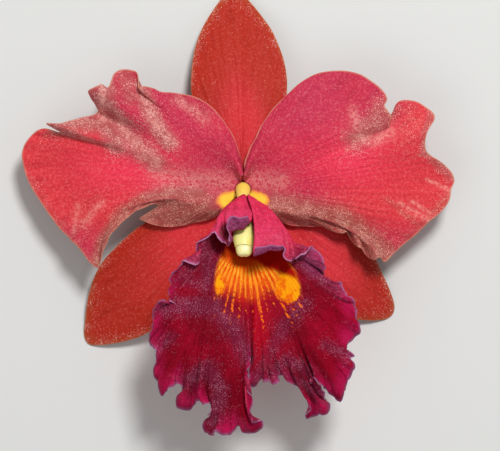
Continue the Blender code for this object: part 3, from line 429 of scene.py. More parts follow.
def row_shares(rows, crowding):
    """How far out every row of a grid lies; the rows stand closer towards the margin."""
    return 1 - (1 - np.linspace(0, 1, rows + 1)) ** crowding


def fan_grid(claw_angles, level, margin, size, bow, bend, dome, reach):
    """The grid of a petal or sepal, from its narrow claw out to its margin.

    A larger bend keeps the veins level for longer before they turn to the margin's height, and dome
    is how high they arch on the way. At the claw the margin is smoothed over `reach` millimetres.
    """
    rows, columns = size
    dense = FINER * columns
    edge = smooth_path(margin, dense + 1)
    step = lengths_along(edge)[-1] / dense
    places = np.linspace(0, 1, dense + 1)
    bow = np.array(bow, float)
    bows = blurred(resampled(bow[:, 1:], bow[:, 0], places), 0.012 * dense)
    early_up, late_right, late_up = bows.T
    start, end = (math.radians(a) for a in claw_angles)
    angle = start + (end - start) * places
    claw = np.stack([np.cos(angle), np.sin(angle), np.zeros(dense + 1)], axis=1) * CLAW_RADIUS
    claw[:, 2] = level
    shares, grid = row_shares(rows, 1.25), []
    for share in shares:
        row_edge = blurred(edge, (FAIRING + reach * (1 - share) ** 1.3) / step)
        row = claw + (row_edge - claw) * share
        # two bumps along the vein, each 1 at its highest
        early, late = 6.75 * share**2 * (1 - share), 14.9 * share**5 * (1 - share)
        row[:, 0] += late * late_right
        row[:, 1] += early * early_up + late * late_up
        lift = dome * math.sin(math.pi * share) ** 2
        row[:, 2] = claw[:, 2] + (row_edge[:, 2] - claw[:, 2]) * share**bend + lift
        grid.append(row[::FINER])
    return np.array(grid), shares


def with_sepal_height(outline):
    """A sepal's outline with heights: it droops towards its far end."""
    far = max(math.hypot(x, y) for x, y in outline)
    return [(x, y, SEPAL_LEVEL - SEPAL_DROP * (math.hypot(x, y) / far) ** 2) for x, y in outline]


def lip_grid():
    """The lip's grid: a smooth trumpet through its lines, plus the margin's frills fading inwards."""
    rows, columns = LIP_GRID
    lines = list(LIP_LINES.values())
    margin, stops = [lines[0][-1]], [0]
    for between, line in zip(LIP_MARGIN, lines[1:]):
        margin += between + [line[-1]]
        stops.append(len(margin) - 1)
    margin = np.array(margin)
    knots = lengths_along(margin, 0.5)
    dense_knots = np.linspace(0, knots[-1], 16 * columns)
    dense = spline(margin, knots, dense_knots)
    run = lengths_along(dense)
    line_places = np.interp(knots[stops], dense_knots, run) / run[-1]
    places = np.linspace(0, 1, FINER * columns + 1)
    edge = resampled(dense, run, places * run[-1])
    step = run[-1] / (FINER * columns)
    rings = np.array([spline(ring, line_places, places) for ring in zip(*lines)])
    frill = edge - rings[-1]
    shares, grid = row_shares(rows, 1.15), []
    for share in shares:
        smooth = spline(rings.reshape(len(LIP_RINGS), -1), LIP_RINGS, [share])[0].reshape(-1, 3)
        fade = np.clip((share - 0.5) / 0.5, 0, 1) ** np.array(LIP_FADE)
        width = (LIP_FAIRING + LIP_FAIRING_INSIDE * (1 - share)) / step
        row = smooth + blurred(frill, width) * fade
        grid.append(row[::FINER])
    return unfolded(np.array(grid), shares), shares, places[::FINER] * run[-1]


def lip_dome(points):
    """The height of the shallow dome that the lip's apron follows, at each point."""
    right, up = points[..., 0] - LIP_DOME_TOP[0], points[..., 1] - LIP_DOME_TOP[1]
    return -LIP_DOME_FALL * (right**2 + up**2)


def unfolded(grid, shares):
    """Evens out the veins inside the margin's lobes, so that the sheet never folds over beside a notch.

    Seen from above the grid is relaxed the way a mesh is laid out in a lobed outline; its height above
    the lip's dome follows along. The margin and the steep throat stay.
    """
    grid = grid.copy()
    grid[..., 2] -= lip_dome(grid)
    across = np.linspace(0, 1, grid.shape[1])[1:-1]
    apron = window(across, 0.11, 0.16, 0.89, 0.94)
    free = smoothstep(0.4, 0.62, shares)[1:-1, None] * apron
    for _ in range(UNFOLDING_ROUNDS):
        along = (grid[2:, 1:-1] - grid[:-2, 1:-1]) / 2
        beside = (grid[1:-1, 2:] - grid[1:-1, :-2]) / 2
        pairs = ((beside, beside), (along, beside), (along, along))
        a, b, c = (np.sum((p * q)[..., :2], axis=-1, keepdims=True) for p, q in pairs)
        twist = (grid[2:, 2:] - grid[2:, :-2] - grid[:-2, 2:] + grid[:-2, :-2]) / 4
        ends = a * (grid[2:, 1:-1] + grid[:-2, 1:-1]) + c * (grid[1:-1, 2:] + grid[1:-1, :-2])
        target = (ends - 2 * b * twist) / (2 * (a + c) + 1e-9)
        grid[1:-1, 1:-1] += (target - grid[1:-1, 1:-1]) * 0.9 * free[..., None]
    grid[..., 2] += lip_dome(grid)
    return grid


# ---- meshes ----
def to_row(points):
    return np.asarray(points, float) * MM + ORIGIN


def placed(name, data):
    made = bpy.data.objects.new(name, data)
    bpy.context.scene.collection.objects.link(made)
    return made


def build_mesh(name, vertices, faces, materials, attributes, face_material=None):
    """An object from arrays, with vertices in millimetres and one value a vertex in each attribute."""
    mesh = bpy.data.meshes.new(name)
    mesh.from_pydata(to_row(vertices).tolist(), [], [tuple(face) for face in faces])
    for made in materials:
        mesh.materials.append(made)
    if face_material is not None:
        indices = np.asarray(face_material, dtype=np.int32)
        mesh.polygons.foreach_set("material_index", indices)
    for key, values in attributes.items():
        layer = mesh.attributes.new(key, "FLOAT", "POINT")
        layer.data.foreach_set("value", np.asarray(values, dtype=np.float32))
    mesh.shade_smooth()
    mesh.validate()
    return placed(name, mesh)


def quads(index):
    """The faces between neighbouring rows and columns of a grid of vertex numbers."""
    corners = index[:-1, :-1], index[:-1, 1:], index[1:, 1:], index[1:, :-1]
    return np.stack(corners, axis=-1).reshape(-1, 4)


def solid_sheet(name, grid, thickness, attributes, materials):
    """A closed sheet with an inner side, an outer side and a thin rim, as one mesh."""
    normal, turned = grid_normals(grid)
    half = (normal * thickness[..., None] / 2).reshape(-1, 3)
    middle = grid.reshape(-1, 3)
    vertices = np.concatenate([middle + half, middle - half])
    index = np.arange(len(middle)).reshape(grid.shape[:2])
    inner = quads(index)
    border = np.concatenate([index[0, :-1], index[:-1, -1], index[-1, :0:-1], index[::-1, 0]])
    rim = quads(np.stack([border, border + len(middle)]))
    if turned:
        inner = inner[:, ::-1]
    else:
        rim = rim[:, ::-1]
    faces = np.concatenate([inner, inner[:, ::-1] + len(middle), rim])
    side = np.repeat([0, 1, 0], [len(inner), len(inner), len(rim)])
    both = {key: np.tile(value.ravel(), 2) for key, value in attributes.items()}
    return build_mesh(name, vertices, faces, materials, both, side)


def solid_of_rings(name, rings, attributes, material):
    """A closed body through rings of points that go round the same way, closed at both ends."""
    count, around = rings.shape[:2]
    ends = (0, -1)
    vertices = np.concatenate([rings.reshape(-1, 3), [rings[k].mean(axis=0) for k in ends]])
    values = {
        key: np.concatenate([value.ravel(), [value[k].mean() for k in ends]])
        for key, value in attributes.items()
    }
    index = np.arange(count * around).reshape(count, around)
    index = np.concatenate([index, index[:, :1]], axis=1)
    faces = quads(index).tolist()
    first, last = count * around, count * around + 1
    faces += [(index[0, k + 1], index[0, k], first) for k in range(around)]
    faces += [(index[-1, k], index[-1, k + 1], last) for k in range(around)]
    return build_mesh(name, vertices, faces, [material], values)


def tube(line, wide, tall, end_steps):
    """Rings round a path that bends up and down only, and its end's middle, side, up and ahead.

    Every ring reaches `wide` to the side and `tall` upwards, point by point. The end is closed by
    copies of the last ring, each drawn in to a share and moved forward, as the end's steps say.
    """
    path = line[:, :3]
    ahead = unit(np.gradient(path, axis=0))
    side = np.tile([1.0, 0.0, 0.0], (len(path), 1))
    up = unit(np.cross(ahead, side))
    rings = path[:, None] + wide[..., None] * side[:, None] + tall[..., None] * up[:, None]
    end = path[-1]
    closed = [end + (rings[-1] - end) * inward + ahead[-1] * forward for inward, forward in end_steps]
    return np.concatenate([rings, closed]), (end, side[-1], up[-1], ahead[-1])


def turn(count):
    return np.linspace(0, 2 * math.pi, count, endpoint=False)


# ---- materials ----
def srgb(red, green, blue):
    """A colour given as 0-255 display values, as the linear colour that nodes take."""
    def linear(value):
        value /= 255
        return value / 12.92 if value <= 0.04045 else ((value + 0.055) / 1.055) ** 2.4
    return (linear(red), linear(green), linear(blue), 1)


class Finish:
    """A material with a Principled BSDF, its colour so far, and short helpers for its node tree."""

    def __init__(self, name, **constants):
        self.material = bpy.data.materials.new(name)
        self.material.use_nodes = True
        self.tree = self.material.node_tree
        self.shader = self.tree.nodes["Principled BSDF"]
        self.place = self.tree.nodes.new("ShaderNodeTexCoord").outputs["Object"]
        self.colour = None
        for key, value in constants.items():
            self.shader.inputs[key.replace("_", " ")].default_value = value

    def node(self, kind, inputs=(), **settings):
        made = self.tree.nodes.new(kind)
        for key, value in settings.items():
            setattr(made, key, value)
        for key, value in dict(inputs).items():
            self.feed(made.inputs[key], value)
        return made

    def feed(self, socket, value):
        """Links an output to the socket, or sets the socket; a tuple is a colour in display values."""
        if isinstance(value, bpy.types.NodeSocket):
            self.tree.links.new(value, socket)
        else:
            socket.default_value = srgb(*value) if isinstance(value, tuple) else value

    def value(self, name):
        return self.node("ShaderNodeAttribute", attribute_name=name).outputs["Fac"]

    def math(self, operation, a, b=0, c=0):
        return self.node("ShaderNodeMath", {0: a, 1: b, 2: c}, operation=operation).outputs[0]

    def times(self, a, b):
        return self.math("MULTIPLY", a, b)

    def scaled(self, value, by, plus):
        return self.math("MULTIPLY_ADD", value, by, plus)

    def minus(self, a, b):
        return self.math("SUBTRACT", a, b)

    def vector(self, x, y):
        return self.node("ShaderNodeCombineXYZ", {0: x, 1: y, 2: 0}).outputs[0]

    def noise(self, scale, detail=3, roughness=0.5, vector=None):
        inputs = {"Scale": scale, "Detail": detail, "Roughness": roughness}
        inputs["Vector"] = vector or self.place
        return self.node("ShaderNodeTexNoise", inputs).outputs["Fac"]

    def specks(self, scale, density):
        """A soft dot in the middle of some of the tissue's cells; density is the share that has one."""
        made = self.node("ShaderNodeTexVoronoi", {"Vector": self.place, "Scale": scale})
        random = self.node("ShaderNodeSeparateColor", {0: made.outputs["Color"]}).outputs[0]
        dot = self.band(made.outputs["Distance"], 0.5, 0.2)
        return self.times(dot, self.math("LESS_THAN", random, density))

    def band(self, value, low, high):
        """0 on low's side, 1 past high, smooth between; high may be the smaller of the two."""
        made = self.node("ShaderNodeMapRange", {"Value": value, "From Min": low, "From Max": high})
        made.interpolation_type = "SMOOTHSTEP"
        return made.outputs["Result"]

    def mix(self, factor, a, b, blend="MIX"):
        inputs = (("Factor", factor), ("A", a), ("B", b))
        return self.node("ShaderNodeMix", inputs, data_type="RGBA", blend_type=blend).outputs["Result"]

    def cover(self, mask, tint):
        """Covers the colour with a tint where the mask is."""
        self.colour = self.mix(mask, self.colour, tint)

    def wash(self, mask, strength, tint):
        """Lays a tint over the colour where the mask is, at that strength."""
        self.cover(self.times(mask, strength), tint)

    def finished(self, height, strength, distance):
        """The material with its colour, and with a fine relief that is `distance` metres high."""
        inputs = {"Height": height, "Strength": strength, "Distance": distance}
        normal = self.node("ShaderNodeBump", inputs).outputs["Normal"]
        self.feed(self.shader.inputs["Normal"], normal)
        self.feed(self.shader.inputs["Base Color"], self.colour)
        return self.material


FINE_GRAIN = 2600  # noise scale, a grain of about 0.4 mm
GRAIN = 1300
SMALL_SPECK = 3300
DUST_AND_SHEEN_SPECK = 3729  # other cells than those of the faint specks
LARGE_SPECK = 2300


def tissue(name, vein_count, stretch, subsurface, specular):
    """A thin velvety sheet's material, with its noise along the veins and its grain.

    The noise is drawn out along the veins, which fan out from the sheet's base.
    """
    f = Finish(
        name, Roughness=0.55, Subsurface_Weight=subsurface, Subsurface_Scale=0.0015,
        Subsurface_Radius=(1, 0.22, 0.2), Specular_IOR_Level=specular,
        Sheen_Weight=0.04, Sheen_Roughness=0.4, Sheen_Tint=srgb(255, 150, 150),
    )
    fan = f.vector(f.times(f.value("across"), vein_count), f.times(f.value("along"), stretch))
    return f, f.noise(1, 4, 0.6, fan), f.noise(GRAIN, roughness=0.65)


def relief(f, vein, ridges, grains):
    """Heights for the fine relief: ridges along the veins, and grains."""
    return f.math("ADD", f.times(vein, ridges), f.times(f.noise(FINE_GRAIN, 2), grains))


def glitter(f, vein, dust, speck, faint, plain, dusty, least=0.006):
    """Painted glints, bright specks of colour where cells glisten: faint ones in rows along the veins,
    bright ones on the bands of painted sheen and shade.

    The last three arguments are the shares of cells that glisten in the rows, on those bands and
    everywhere.
    """
    rows = f.times(f.band(vein, 0.36, 0.62), plain)
    f.wash(f.specks(SMALL_SPECK, rows), 0.5, faint)
    patchy = f.times(dust, f.band(f.noise(260, 2), 0.3, 0.62))
    density = f.scaled(patchy, dusty, least)
    f.wash(f.specks(DUST_AND_SHEEN_SPECK, density), 0.8, speck)
    f.wash(f.specks(LARGE_SPECK, f.scaled(density, 0.75, -0.15)), 0.8, speck)


def turned_dust(f, grain, dust, full):
    """Where the bands of painted sheen and shade show, broken up by the grain."""
    return f.times(dust, f.band(f.scaled(grain, 0.8, dust), full - 0.55, full))


def petal_finish(name, colours, vein_count=90, dusty=1, mottled=0.7):
    """Petal or sepal tissue: cool near the middle, warm further out; where it turns, painted sheen and
    shade in tan, with painted glints.
    """
    cool, warm, bright, tan, edge = colours
    f, vein, grain = tissue(name, vein_count, stretch=5, subsurface=0.08, specular=0.1)
    patches = f.scaled(f.noise(60), 0.6, f.value("warm"))
    f.colour = f.mix(f.band(patches, 0.1, 1), cool, warm)
    f.wash(f.value("bright"), 0.8, bright)
    deep = f.mix(0.75, f.colour, (110, 12, 26), "MULTIPLY")
    deep = f.mix(0.5, f.colour, deep)
    f.wash(f.band(vein, 0.5, 0.34), 0.4, deep)
    f.wash(f.band(grain, 0.48, 0.34), 0.6 * mottled, deep)
    pale = f.mix(0.4, f.colour, (255, 168, 158))
    f.wash(f.band(grain, 0.5, 0.64), 0.5 * mottled, pale)
    # painted sheen and shade: tan bands where the sheet turns, browner on its lower half where it turns
    # under
    dust, low = f.times(f.value("dust"), dusty), f.value("low")
    f.wash(turned_dust(f, grain, dust, 1), 0.85, f.mix(low, tan, (162, 86, 76)))
    streaky = f.band(f.noise(GRAIN * 0.8, roughness=0.7), 0.36, 0.58)
    f.wash(f.times(f.value("gleam"), streaky), 0.6, (246, 176, 164))
    # colours of the painted glints
    faint = f.mix(0.35 * mottled, f.colour, (255, 150, 140))
    speck = f.mix(low, (252, 198, 188), (246, 186, 166))
    glitter(f, vein, dust, speck, faint, plain=0.6, dusty=1)
    yellow = f.scaled(f.minus(f.noise(500), 0.5), 0.5, f.value("yellow"))
    f.cover(f.band(yellow, 0.1, 0.45), (246, 150, 72))
    f.cover(f.band(yellow, 0.35, 0.8), (255, 208, 66))
    f.wash(f.band(f.value("edge"), 0.7, 0.1), 0.75, edge)
    return f.finished(relief(f, vein, 0.6, 0.6), strength=0.5, distance=0.00025)


def throat_colour(f):
    """The throat's orange ground, yellow lines that fan out and gold beside them, and where it shows."""
    reach = f.value("reach")
    wobble = f.scaled(f.noise(95, 2), 0.6, f.value("fan"))
    whole = f.math("FLOOR", wobble)
    random = f.node("ShaderNodeTexWhiteNoise", {"W": whole}, noise_dimensions="1D").outputs["Value"]
    fuzz = f.scaled(f.noise(900, 2), 0.14, -0.07)
    line = f.math("ADD", f.math("PINGPONG", wobble, 0.5), fuzz)  # 0 between two lines, 0.5 on a line
    end = f.scaled(random, 0.3, 0.84)
    broken = f.noise(1, 2, vector=f.vector(f.times(wobble, 3), f.times(reach, 26)))
    left = f.minus(end, reach)
    solid = f.band(f.scaled(f.minus(broken, 0.56), 1.9, left), -0.1, 0.12)
    thin = f.scaled(f.band(left, 0.5, 0), 0.12, 0.21)
    yellow = f.times(f.band(f.minus(line, thin), -0.05, 0.11), solid)
    yellow = f.times(yellow, f.band(reach, 0.36, 0.5))
    ground = f.mix(f.band(f.noise(420, 2), 0.36, 0.64), (232, 80, 10), (244, 116, 16))
    ground = f.mix(f.band(f.scaled(f.noise(300), 0.4, reach), 0.7, 1.1), ground, (190, 26, 24))
    line_colour = f.mix(f.band(reach, 0.35, 0.9), (255, 178, 46), (244, 112, 22))
    colour = f.mix(yellow, ground, line_colour)
    # painted shade: darker red-orange close to where the lines start, under the column's end
    colour = f.mix(f.times(f.band(reach, 0.52, 0.36), 0.75), colour, (206, 52, 10))
    gold = f.mix(f.band(f.noise(330), 0.45, 0.62), (255, 164, 8), (240, 112, 6))
    ragged = f.scaled(broken, 0.9, f.value("gold"))
    patch = f.band(f.scaled(f.noise(620, 4, 0.7), 1, ragged), 1.2, 1.7)
    colour = f.mix(patch, colour, gold)
    ground_end = f.minus(f.scaled(f.noise(300), 0.3, 0.68), reach)
    shown = f.math("MAXIMUM", f.math("MAXIMUM", f.band(ground_end, -0.08, 0.1), yellow), patch)
    return colour, f.times(shown, f.value("throat"))


def add_rim(f, wide, thin):
    """A paler purple rim along the lip's margin, uneven in width, and its paler very edge."""
    edge = f.value("edge")
    uneven = f.scaled(f.noise(340), 2.4, edge)
    f.wash(f.band(uneven, 2.7, 1.5), 0.7, wide)
    f.wash(f.band(edge, 0.8, 0.2), 0.8, thin)


def lip_inner_finish():
    """The lip's inner side: crimson velvet, magenta at the frilled margin, yellow veined in the throat."""
    f, vein, grain = tissue("lip_velvet", 150, stretch=6, subsurface=0.02, specular=0.04)
    f.colour = f.mix(f.band(f.noise(75), 0.38, 0.62), (124, 3, 26), (152, 5, 34))
    frill = f.times(f.band(f.value("edge"), 10, 1), f.band(f.noise(120, 2), 0.3, 0.54))
    f.wash(frill, 0.9, (192, 22, 82))
    f.cover(f.value("bright"), (176, 5, 30))
    f.wash(f.band(vein, 0.5, 0.32), 0.55, (92, 2, 20))
    # painted sheen: grey-purple bands where the velvet turns, with painted glints on them
    dust = f.value("dust")
    f.wash(turned_dust(f, grain, dust, 1.05), 0.72, (112, 36, 66))
    f.wash(f.band(grain, 0.47, 0.32), 0.5, (72, 1, 18))
    faint = f.mix(0.4, f.colour, (214, 70, 110))
    glitter(f, vein, dust, (192, 116, 142), faint, plain=0.4, dusty=0.7)
    throat, shown = throat_colour(f)
    f.cover(shown, throat)
    f.cover(f.value("shade"), (170, 14, 6))
    f.cover(f.value("lilac"), f.mix(f.band(grain, 0.36, 0.66), (132, 42, 82), (164, 84, 124)))
    add_rim(f, (150, 70, 112), (176, 108, 150))
    return f.finished(relief(f, vein, 0.7, 0.6), strength=0.5, distance=0.0003)


def lip_outer_finish():
    """The lip's outer side: magenta rose to crimson, with lilac bloom towards the margin."""
    f, vein, grain = tissue("lip_outside", 170, stretch=6, subsurface=0.06, specular=0.2)
    f.colour = f.mix(f.band(f.noise(90), 0.35, 0.65), (204, 20, 62), (230, 38, 84))
    f.wash(f.band(vein, 0.5, 0.3), 0.45, (142, 6, 44))
    # darker purple towards the margin outside the hood: partly the lip's own colour, partly painted shade
    # where the margin turns away
    f.wash(f.band(f.value("edge"), 9, 2), f.value("apron"), (126, 18, 60))
    bloom = f.value("bloom")
    f.wash(bloom, 0.55, (186, 66, 120))
    f.wash(f.band(grain, 0.5, 0.64), 0.4, (240, 76, 108))
    glitter(f, vein, bloom, (232, 140, 178), (236, 100, 146), plain=0.6, dusty=0.12, least=0.02)
    # painted shade: dark crimson in the hollow beside the left fold, where the fold keeps the light off
    f.cover(f.value("pocket"), (96, 2, 26))
    f.wash(f.band(grain, 0.46, 0.32), 0.4, (138, 8, 46))
    f.wash(f.band(f.value("along"), 0.1, 0), 0.8, (240, 190, 90))
    add_rim(f, (168, 76, 124), (196, 128, 168))
    return f.finished(relief(f, vein, 0.7, 0.5), strength=0.4, distance=0.0003)


def wax_finish(name, light, dark, tint):
    """Column, anther cap and pollen: smooth waxy tissue, mottled and a little translucent."""
    f = Finish(
        name, Roughness=0.38, Subsurface_Weight=0.25, Subsurface_Scale=0.0015,
        Subsurface_Radius=(1, 0.7, 0.25), Coat_Weight=0.15, Coat_Roughness=0.3,
    )
    f.colour = f.mix(f.band(f.noise(260), 0.35, 0.65), dark, light)
    f.cover(f.value("tint"), tint)
    return f.finished(f.noise(1500), strength=0.3, distance=0.0002)


def stalk_finish():
    """Ovary and stalk: green, flushed red along the ribs, with fine lengthwise streaks."""
    f = Finish(
        "stalk", Roughness=0.42, Subsurface_Weight=0.1, Subsurface_Scale=0.002, Coat_Weight=0.1,
    )
    drawn_out = f.vector(f.times(f.value("around"), 14), f.times(f.value("along"), 3))
    streak = f.noise(1, 4, vector=drawn_out)
    f.colour = f.mix(f.band(streak, 0.35, 0.65), (98, 112, 44), (142, 150, 74))
    f.wash(f.band(f.noise(120), 0.42, 0.68), f.value("flush"), (134, 62, 44))
    f.wash(f.band(f.noise(900, 2), 0.58, 0.7), 0.35, (176, 178, 110))
    f.cover(f.value("cut"), f.mix(f.noise(1400), (196, 196, 130), (150, 160, 92)))
    height = f.math("ADD", streak, f.times(f.noise(2000, 2), 0.5))
    return f.finished(height, strength=0.35, distance=0.0002)


# ---- what the sheets share ----
def vein_relief(grid, shares, seed, count, height):
    """Fine ridges along the veins, pushed along the surface's normal."""
    ridge = waves(np.linspace(0, 1, grid.shape[1]) * count, 1, seed) * height
    fade = smoothstep(0, 0.3, shares)[:, None] * (1 - 0.6 * smoothstep(0.85, 1, shares)[:, None])
    return pushed(grid, ridge * fade)


def soft_swells(grid, shares, seed, wavelength, height):
    """Low swells that break up a too even surface."""
    x, y = grid[..., 0], grid[..., 1]
    swell = (waves(x + 0.6 * y, wavelength, seed) + waves(y - 0.5 * x, wavelength, seed + 1)) / 2
    return pushed(grid, swell * smoothstep(0.12, 0.5, shares)[:, None] * height)


def crisped(grid, shares, margin_run, wavelength, height, depth, seed):
    """Small ruffles at the margin that die out `depth` millimetres inwards."""
    strength = 0.6 + 0.4 * waves(margin_run, 5 * wavelength, seed + 7)
    ripple = waves(margin_run, wavelength, seed) * strength
    fade = bell(edge_distance(grid), depth, 1.5) * smoothstep(0.3, 0.7, shares)[:, None]
    return pushed(grid, ripple * fade * height)


def sheet_attributes(grid, shares, strokes, slope_dust=0):
    """What the materials read at each point; the bands of painted sheen and shade also lie on slopes that
    face down the flower, away from the light.
    """
    normal, _ = grid_normals(grid)
    tilted = smoothstep(0.25, 0.75, -normal[..., 1]) * slope_dust
    dust = np.clip(stroke_mask(grid[..., 0], grid[..., 1], strokes) + tilted, 0, 1)
    along, across = np.meshgrid(shares, np.linspace(0, 1, grid.shape[1]), indexing="ij")
    return {"along": along, "across": across, "edge": edge_distance(grid), "dust": dust}


def finish_piece(made, node):
    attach(made, "root")
    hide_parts(node)


def add_blade(node, grid, shares, rim, attributes, materials):
    """Makes the sheet of a grid: thinner towards the margin, and rounded off at the very edge."""
    thickness = SHEET - (SHEET - rim) * shares**2
    thickness[-2:] *= EDGE_ROUNDING
    thickness = np.repeat(thickness[:, None], grid.shape[1], axis=1)
    finish_piece(solid_sheet(node + "_blade", grid, thickness, attributes, materials), node)


# ---- sepals and petals, with colours in the order cool, warm, bright, tan, edge ----
SEPAL_FACE = ((206, 38, 44), (180, 40, 24), (228, 58, 70), (164, 84, 44), (196, 128, 88))
SEPAL_BACK = ((178, 58, 50), (160, 48, 34), (190, 80, 62), (160, 104, 66), (180, 124, 84))
PETAL_FACE = ((192, 42, 77), (220, 56, 66), (244, 56, 86), (172, 90, 88), (212, 146, 122))
PETAL_BACK = ((184, 62, 80), (186, 66, 66), (206, 80, 84), (164, 102, 86), (200, 140, 116))
SEPALS = (  # node, claw's angles in degrees, outline, where and how much it glows, seed
    ("dorsal_sepal", (134, 46), DORSAL_SEPAL, (0.3, 0.7), 3),
    ("lateral_sepal_left", (178, 266), LEFT_LATERAL_SEPAL, (0.35, 0.8), 5),
    ("lateral_sepal_right", (364, 276), RIGHT_LATERAL_SEPAL, (0.55, 1.2), 8),
)
PETALS = (  # node, claw's angles, outline and its bow, bands of painted sheen and shade, gleam, middle of its glow, seed
    ("petal_left", (98, 222), LEFT_PETAL, LEFT_PETAL_BOW,
     LEFT_PETAL_DUST_AND_SHEEN, LEFT_PETAL_GLEAM, (-36, 7), 11),
    ("petal_right", (82, -42), RIGHT_PETAL, RIGHT_PETAL_BOW,
     RIGHT_PETAL_DUST_AND_SHEEN, RIGHT_PETAL_GLEAM, (32, 9), 17),
)


def add_sepals():
    front = petal_finish("sepal_face", SEPAL_FACE, vein_count=60, mottled=0.4)
    back = petal_finish("sepal_back", SEPAL_BACK, vein_count=60)
    for node, claw, outline, (glow, strength), seed in SEPALS:
        margin = with_sepal_height(outline)
        grid, shares = fan_grid(
            claw, SEPAL_LEVEL, margin, SEPAL_GRID, NO_BOW, bend=2, dome=0, reach=8,
        )
        grid = soft_swells(grid, shares, seed, wavelength=26, height=0.35)
        grid = vein_relief(grid, shares, seed, count=26, height=0.05)
        groove = bell(np.linspace(-1, 1, grid.shape[1]), 0.1)
        fade = smoothstep(0.05, 0.3, shares) * (1 - shares) ** 0.5
        grid[..., 2] -= 0.5 * (groove * fade[:, None])
        attributes = sheet_attributes(grid, shares, [])
        along = attributes["along"]
        nowhere = np.zeros_like(along)
        attributes.update(
            # tan towards the tip, through the same mask as the painted sheen and shade
            dust=0.5 * smoothstep(0.84, 1, along) ** 2,
            warm=smoothstep(0.25, 0.8, along),
            bright=bell(along - glow, 0.25) * strength,
            gleam=nowhere,
            yellow=nowhere,
            low=nowhere,
        )
        add_blade(node, grid, shares, BLADE_RIM, attributes, [front, back])


def add_petals():
    front = petal_finish("petal_face", PETAL_FACE)
    back = petal_finish("petal_back", PETAL_BACK, dusty=0.5)
    for node, claw, outline, bow, strokes, gleams, glow, seed in PETALS:
        grid, shares = fan_grid(
            claw, PETAL_LEVEL, outline, PETAL_GRID, bow, bend=1.5, dome=3, reach=22,
        )
        margin_run = lengths_along(grid[-1])
        grid = soft_swells(grid, shares, seed, wavelength=22, height=0.5)
        grid = crisped(grid, shares, margin_run, wavelength=7, height=0.35, depth=5, seed=seed)
        grid = vein_relief(grid, shares, seed, count=60, height=0.06)
        attributes = sheet_attributes(grid, shares, strokes, slope_dust=0.5)
        x, y = grid[..., 0], grid[..., 1]
        attributes.update(
            gleam=stroke_mask(x, y, gleams),
            warm=smoothstep(18, 52, np.abs(x) - 0.8 * y) * smoothstep(-20, 0, y),
            # lower half: the painted sheen and shade there is browner, and so are the painted glints
            low=smoothstep(4, -6, y),
            bright=bell(oval(x, y, glow, (17, 9)), 1),
            yellow=smoothstep(1.35, 0.45, oval(np.abs(x), y, (3.2, -3.4), (5, 3))),
        )
        add_blade(node, grid, shares, BLADE_RIM, attributes, [front, back])


# ---- the lip ----
LINES_START = (0.6, -13)  # the throat's yellow lines fan out from here, under the column
LINE_ANGLE = 5.1  # degrees between two of them
FIRST_LINE = 60  # keeps their numbers above 0
LIP_RUFFLES = (  # wavelength, height, how far inwards, seed
    (11, 2, 11, 19),
    (4.6, 0.9, 5.5, 23),
)
SLIT = (2.9, 0.55, 1.1)  # the crease down the apron's middle: its place in x, width and depth


def lip_attributes(grid, shares):
    """Where the throat and its lines, the gold, the red panel, the shaded parts and the lilac lie."""
    x, y, z = grid[..., 0], grid[..., 1], grid[..., 2]
    attributes = sheet_attributes(grid, shares, LIP_DUST_AND_SHEEN, slope_dust=0.35)
    across = attributes["across"]
    right, down = x - LINES_START[0], LINES_START[1] - y
    angle = np.degrees(np.arctan2(right, down))
    limit = 25.5 + 2.5 * bell(angle - 6, 12) + 7 * smoothstep(20, 34, angle)
    left_side = np.interp(y, (-33, -25.4, -20.7, -17.8), (-9.2, -8.4, -6.8, -5))
    right_side = np.interp(y, (-35, -30.8, -26.5, -22.8), (18.6, 18, 16.8, 14.6))
    sides = window(x, left_side - 0.9, left_side + 0.7, right_side - 0.9, right_side + 0.9)
    right_gold = smoothstep(1.4, 0.6, oval(x, y, (14.4, -30.6), (3.9, 5)))
    left_gold = smoothstep(1.6, 0.4, oval(x, y, (-7.4, -30.5), (1.6, 3.8)))
    panel = window(x, 2.6, 3.2, 5, 11) * window(y, -60, -52, -37, -31)
    # the roof shades the throat down to this line
    brink = np.interp(x, (-8, 0, 5, 7.5, 13, 17), (-17.5, -21.8, -22.6, -24.6, -26.6, -28))
    hood = window(x, -11.5, -9, 13, 15.5) * smoothstep(-24, -20, y)
    roof = (across < 0.075) | (across > 0.925)
    shoulder = smoothstep(1.3, 0.5, oval(x, y, (22.5, -22.5), (4, 5))) * (x > 17)
    attributes.update(
        fan=angle / LINE_ANGLE + FIRST_LINE,
        reach=np.hypot(right, down) / limit,
        throat=sides * smoothstep(27, 23, z) * (across > 0.12) * (across < 0.93),
        gold=right_gold + 0.8 * left_gold,
        # painted shade in the hollow on the lip's outer side beside the left fold
        pocket=smoothstep(1.3, 0.6, oval(x, y, (-5.7, -13.6), (1.9, 3.3))) * 0.95,
        bright=panel * 0.9,
        shade=smoothstep(brink - 0.7, brink + 0.7, y) * sides * (across > 0.12) * (across < 0.95),
        apron=0.9 * (1 - hood),
        lilac=roof * smoothstep(0.9, 0.95, shares)[:, None] + 0.45 * shoulder,
        bloom=smoothstep(0.35, 0.85, attributes["along"]) * np.where(x > 2, 0.35, 0.55) * hood,
    )
    return attributes


def notched(grid, margin_run, wavelength, depth, seed):
    """Narrow notches in the apron's margin, two a wavelength, that leave rounded lobes between them."""
    inward = unit(grid[-9] - grid[-1])
    across = np.linspace(0, 1, len(margin_run))
    apron = window(across, 0.1, 0.15, 0.89, 0.94)
    notch = depth * apron * bell(waves(margin_run, wavelength, seed), 0.4)
    fade = bell(edge_distance(grid), 1.8, 1.5)
    return grid + notch[:, None] * inward * fade[..., None]


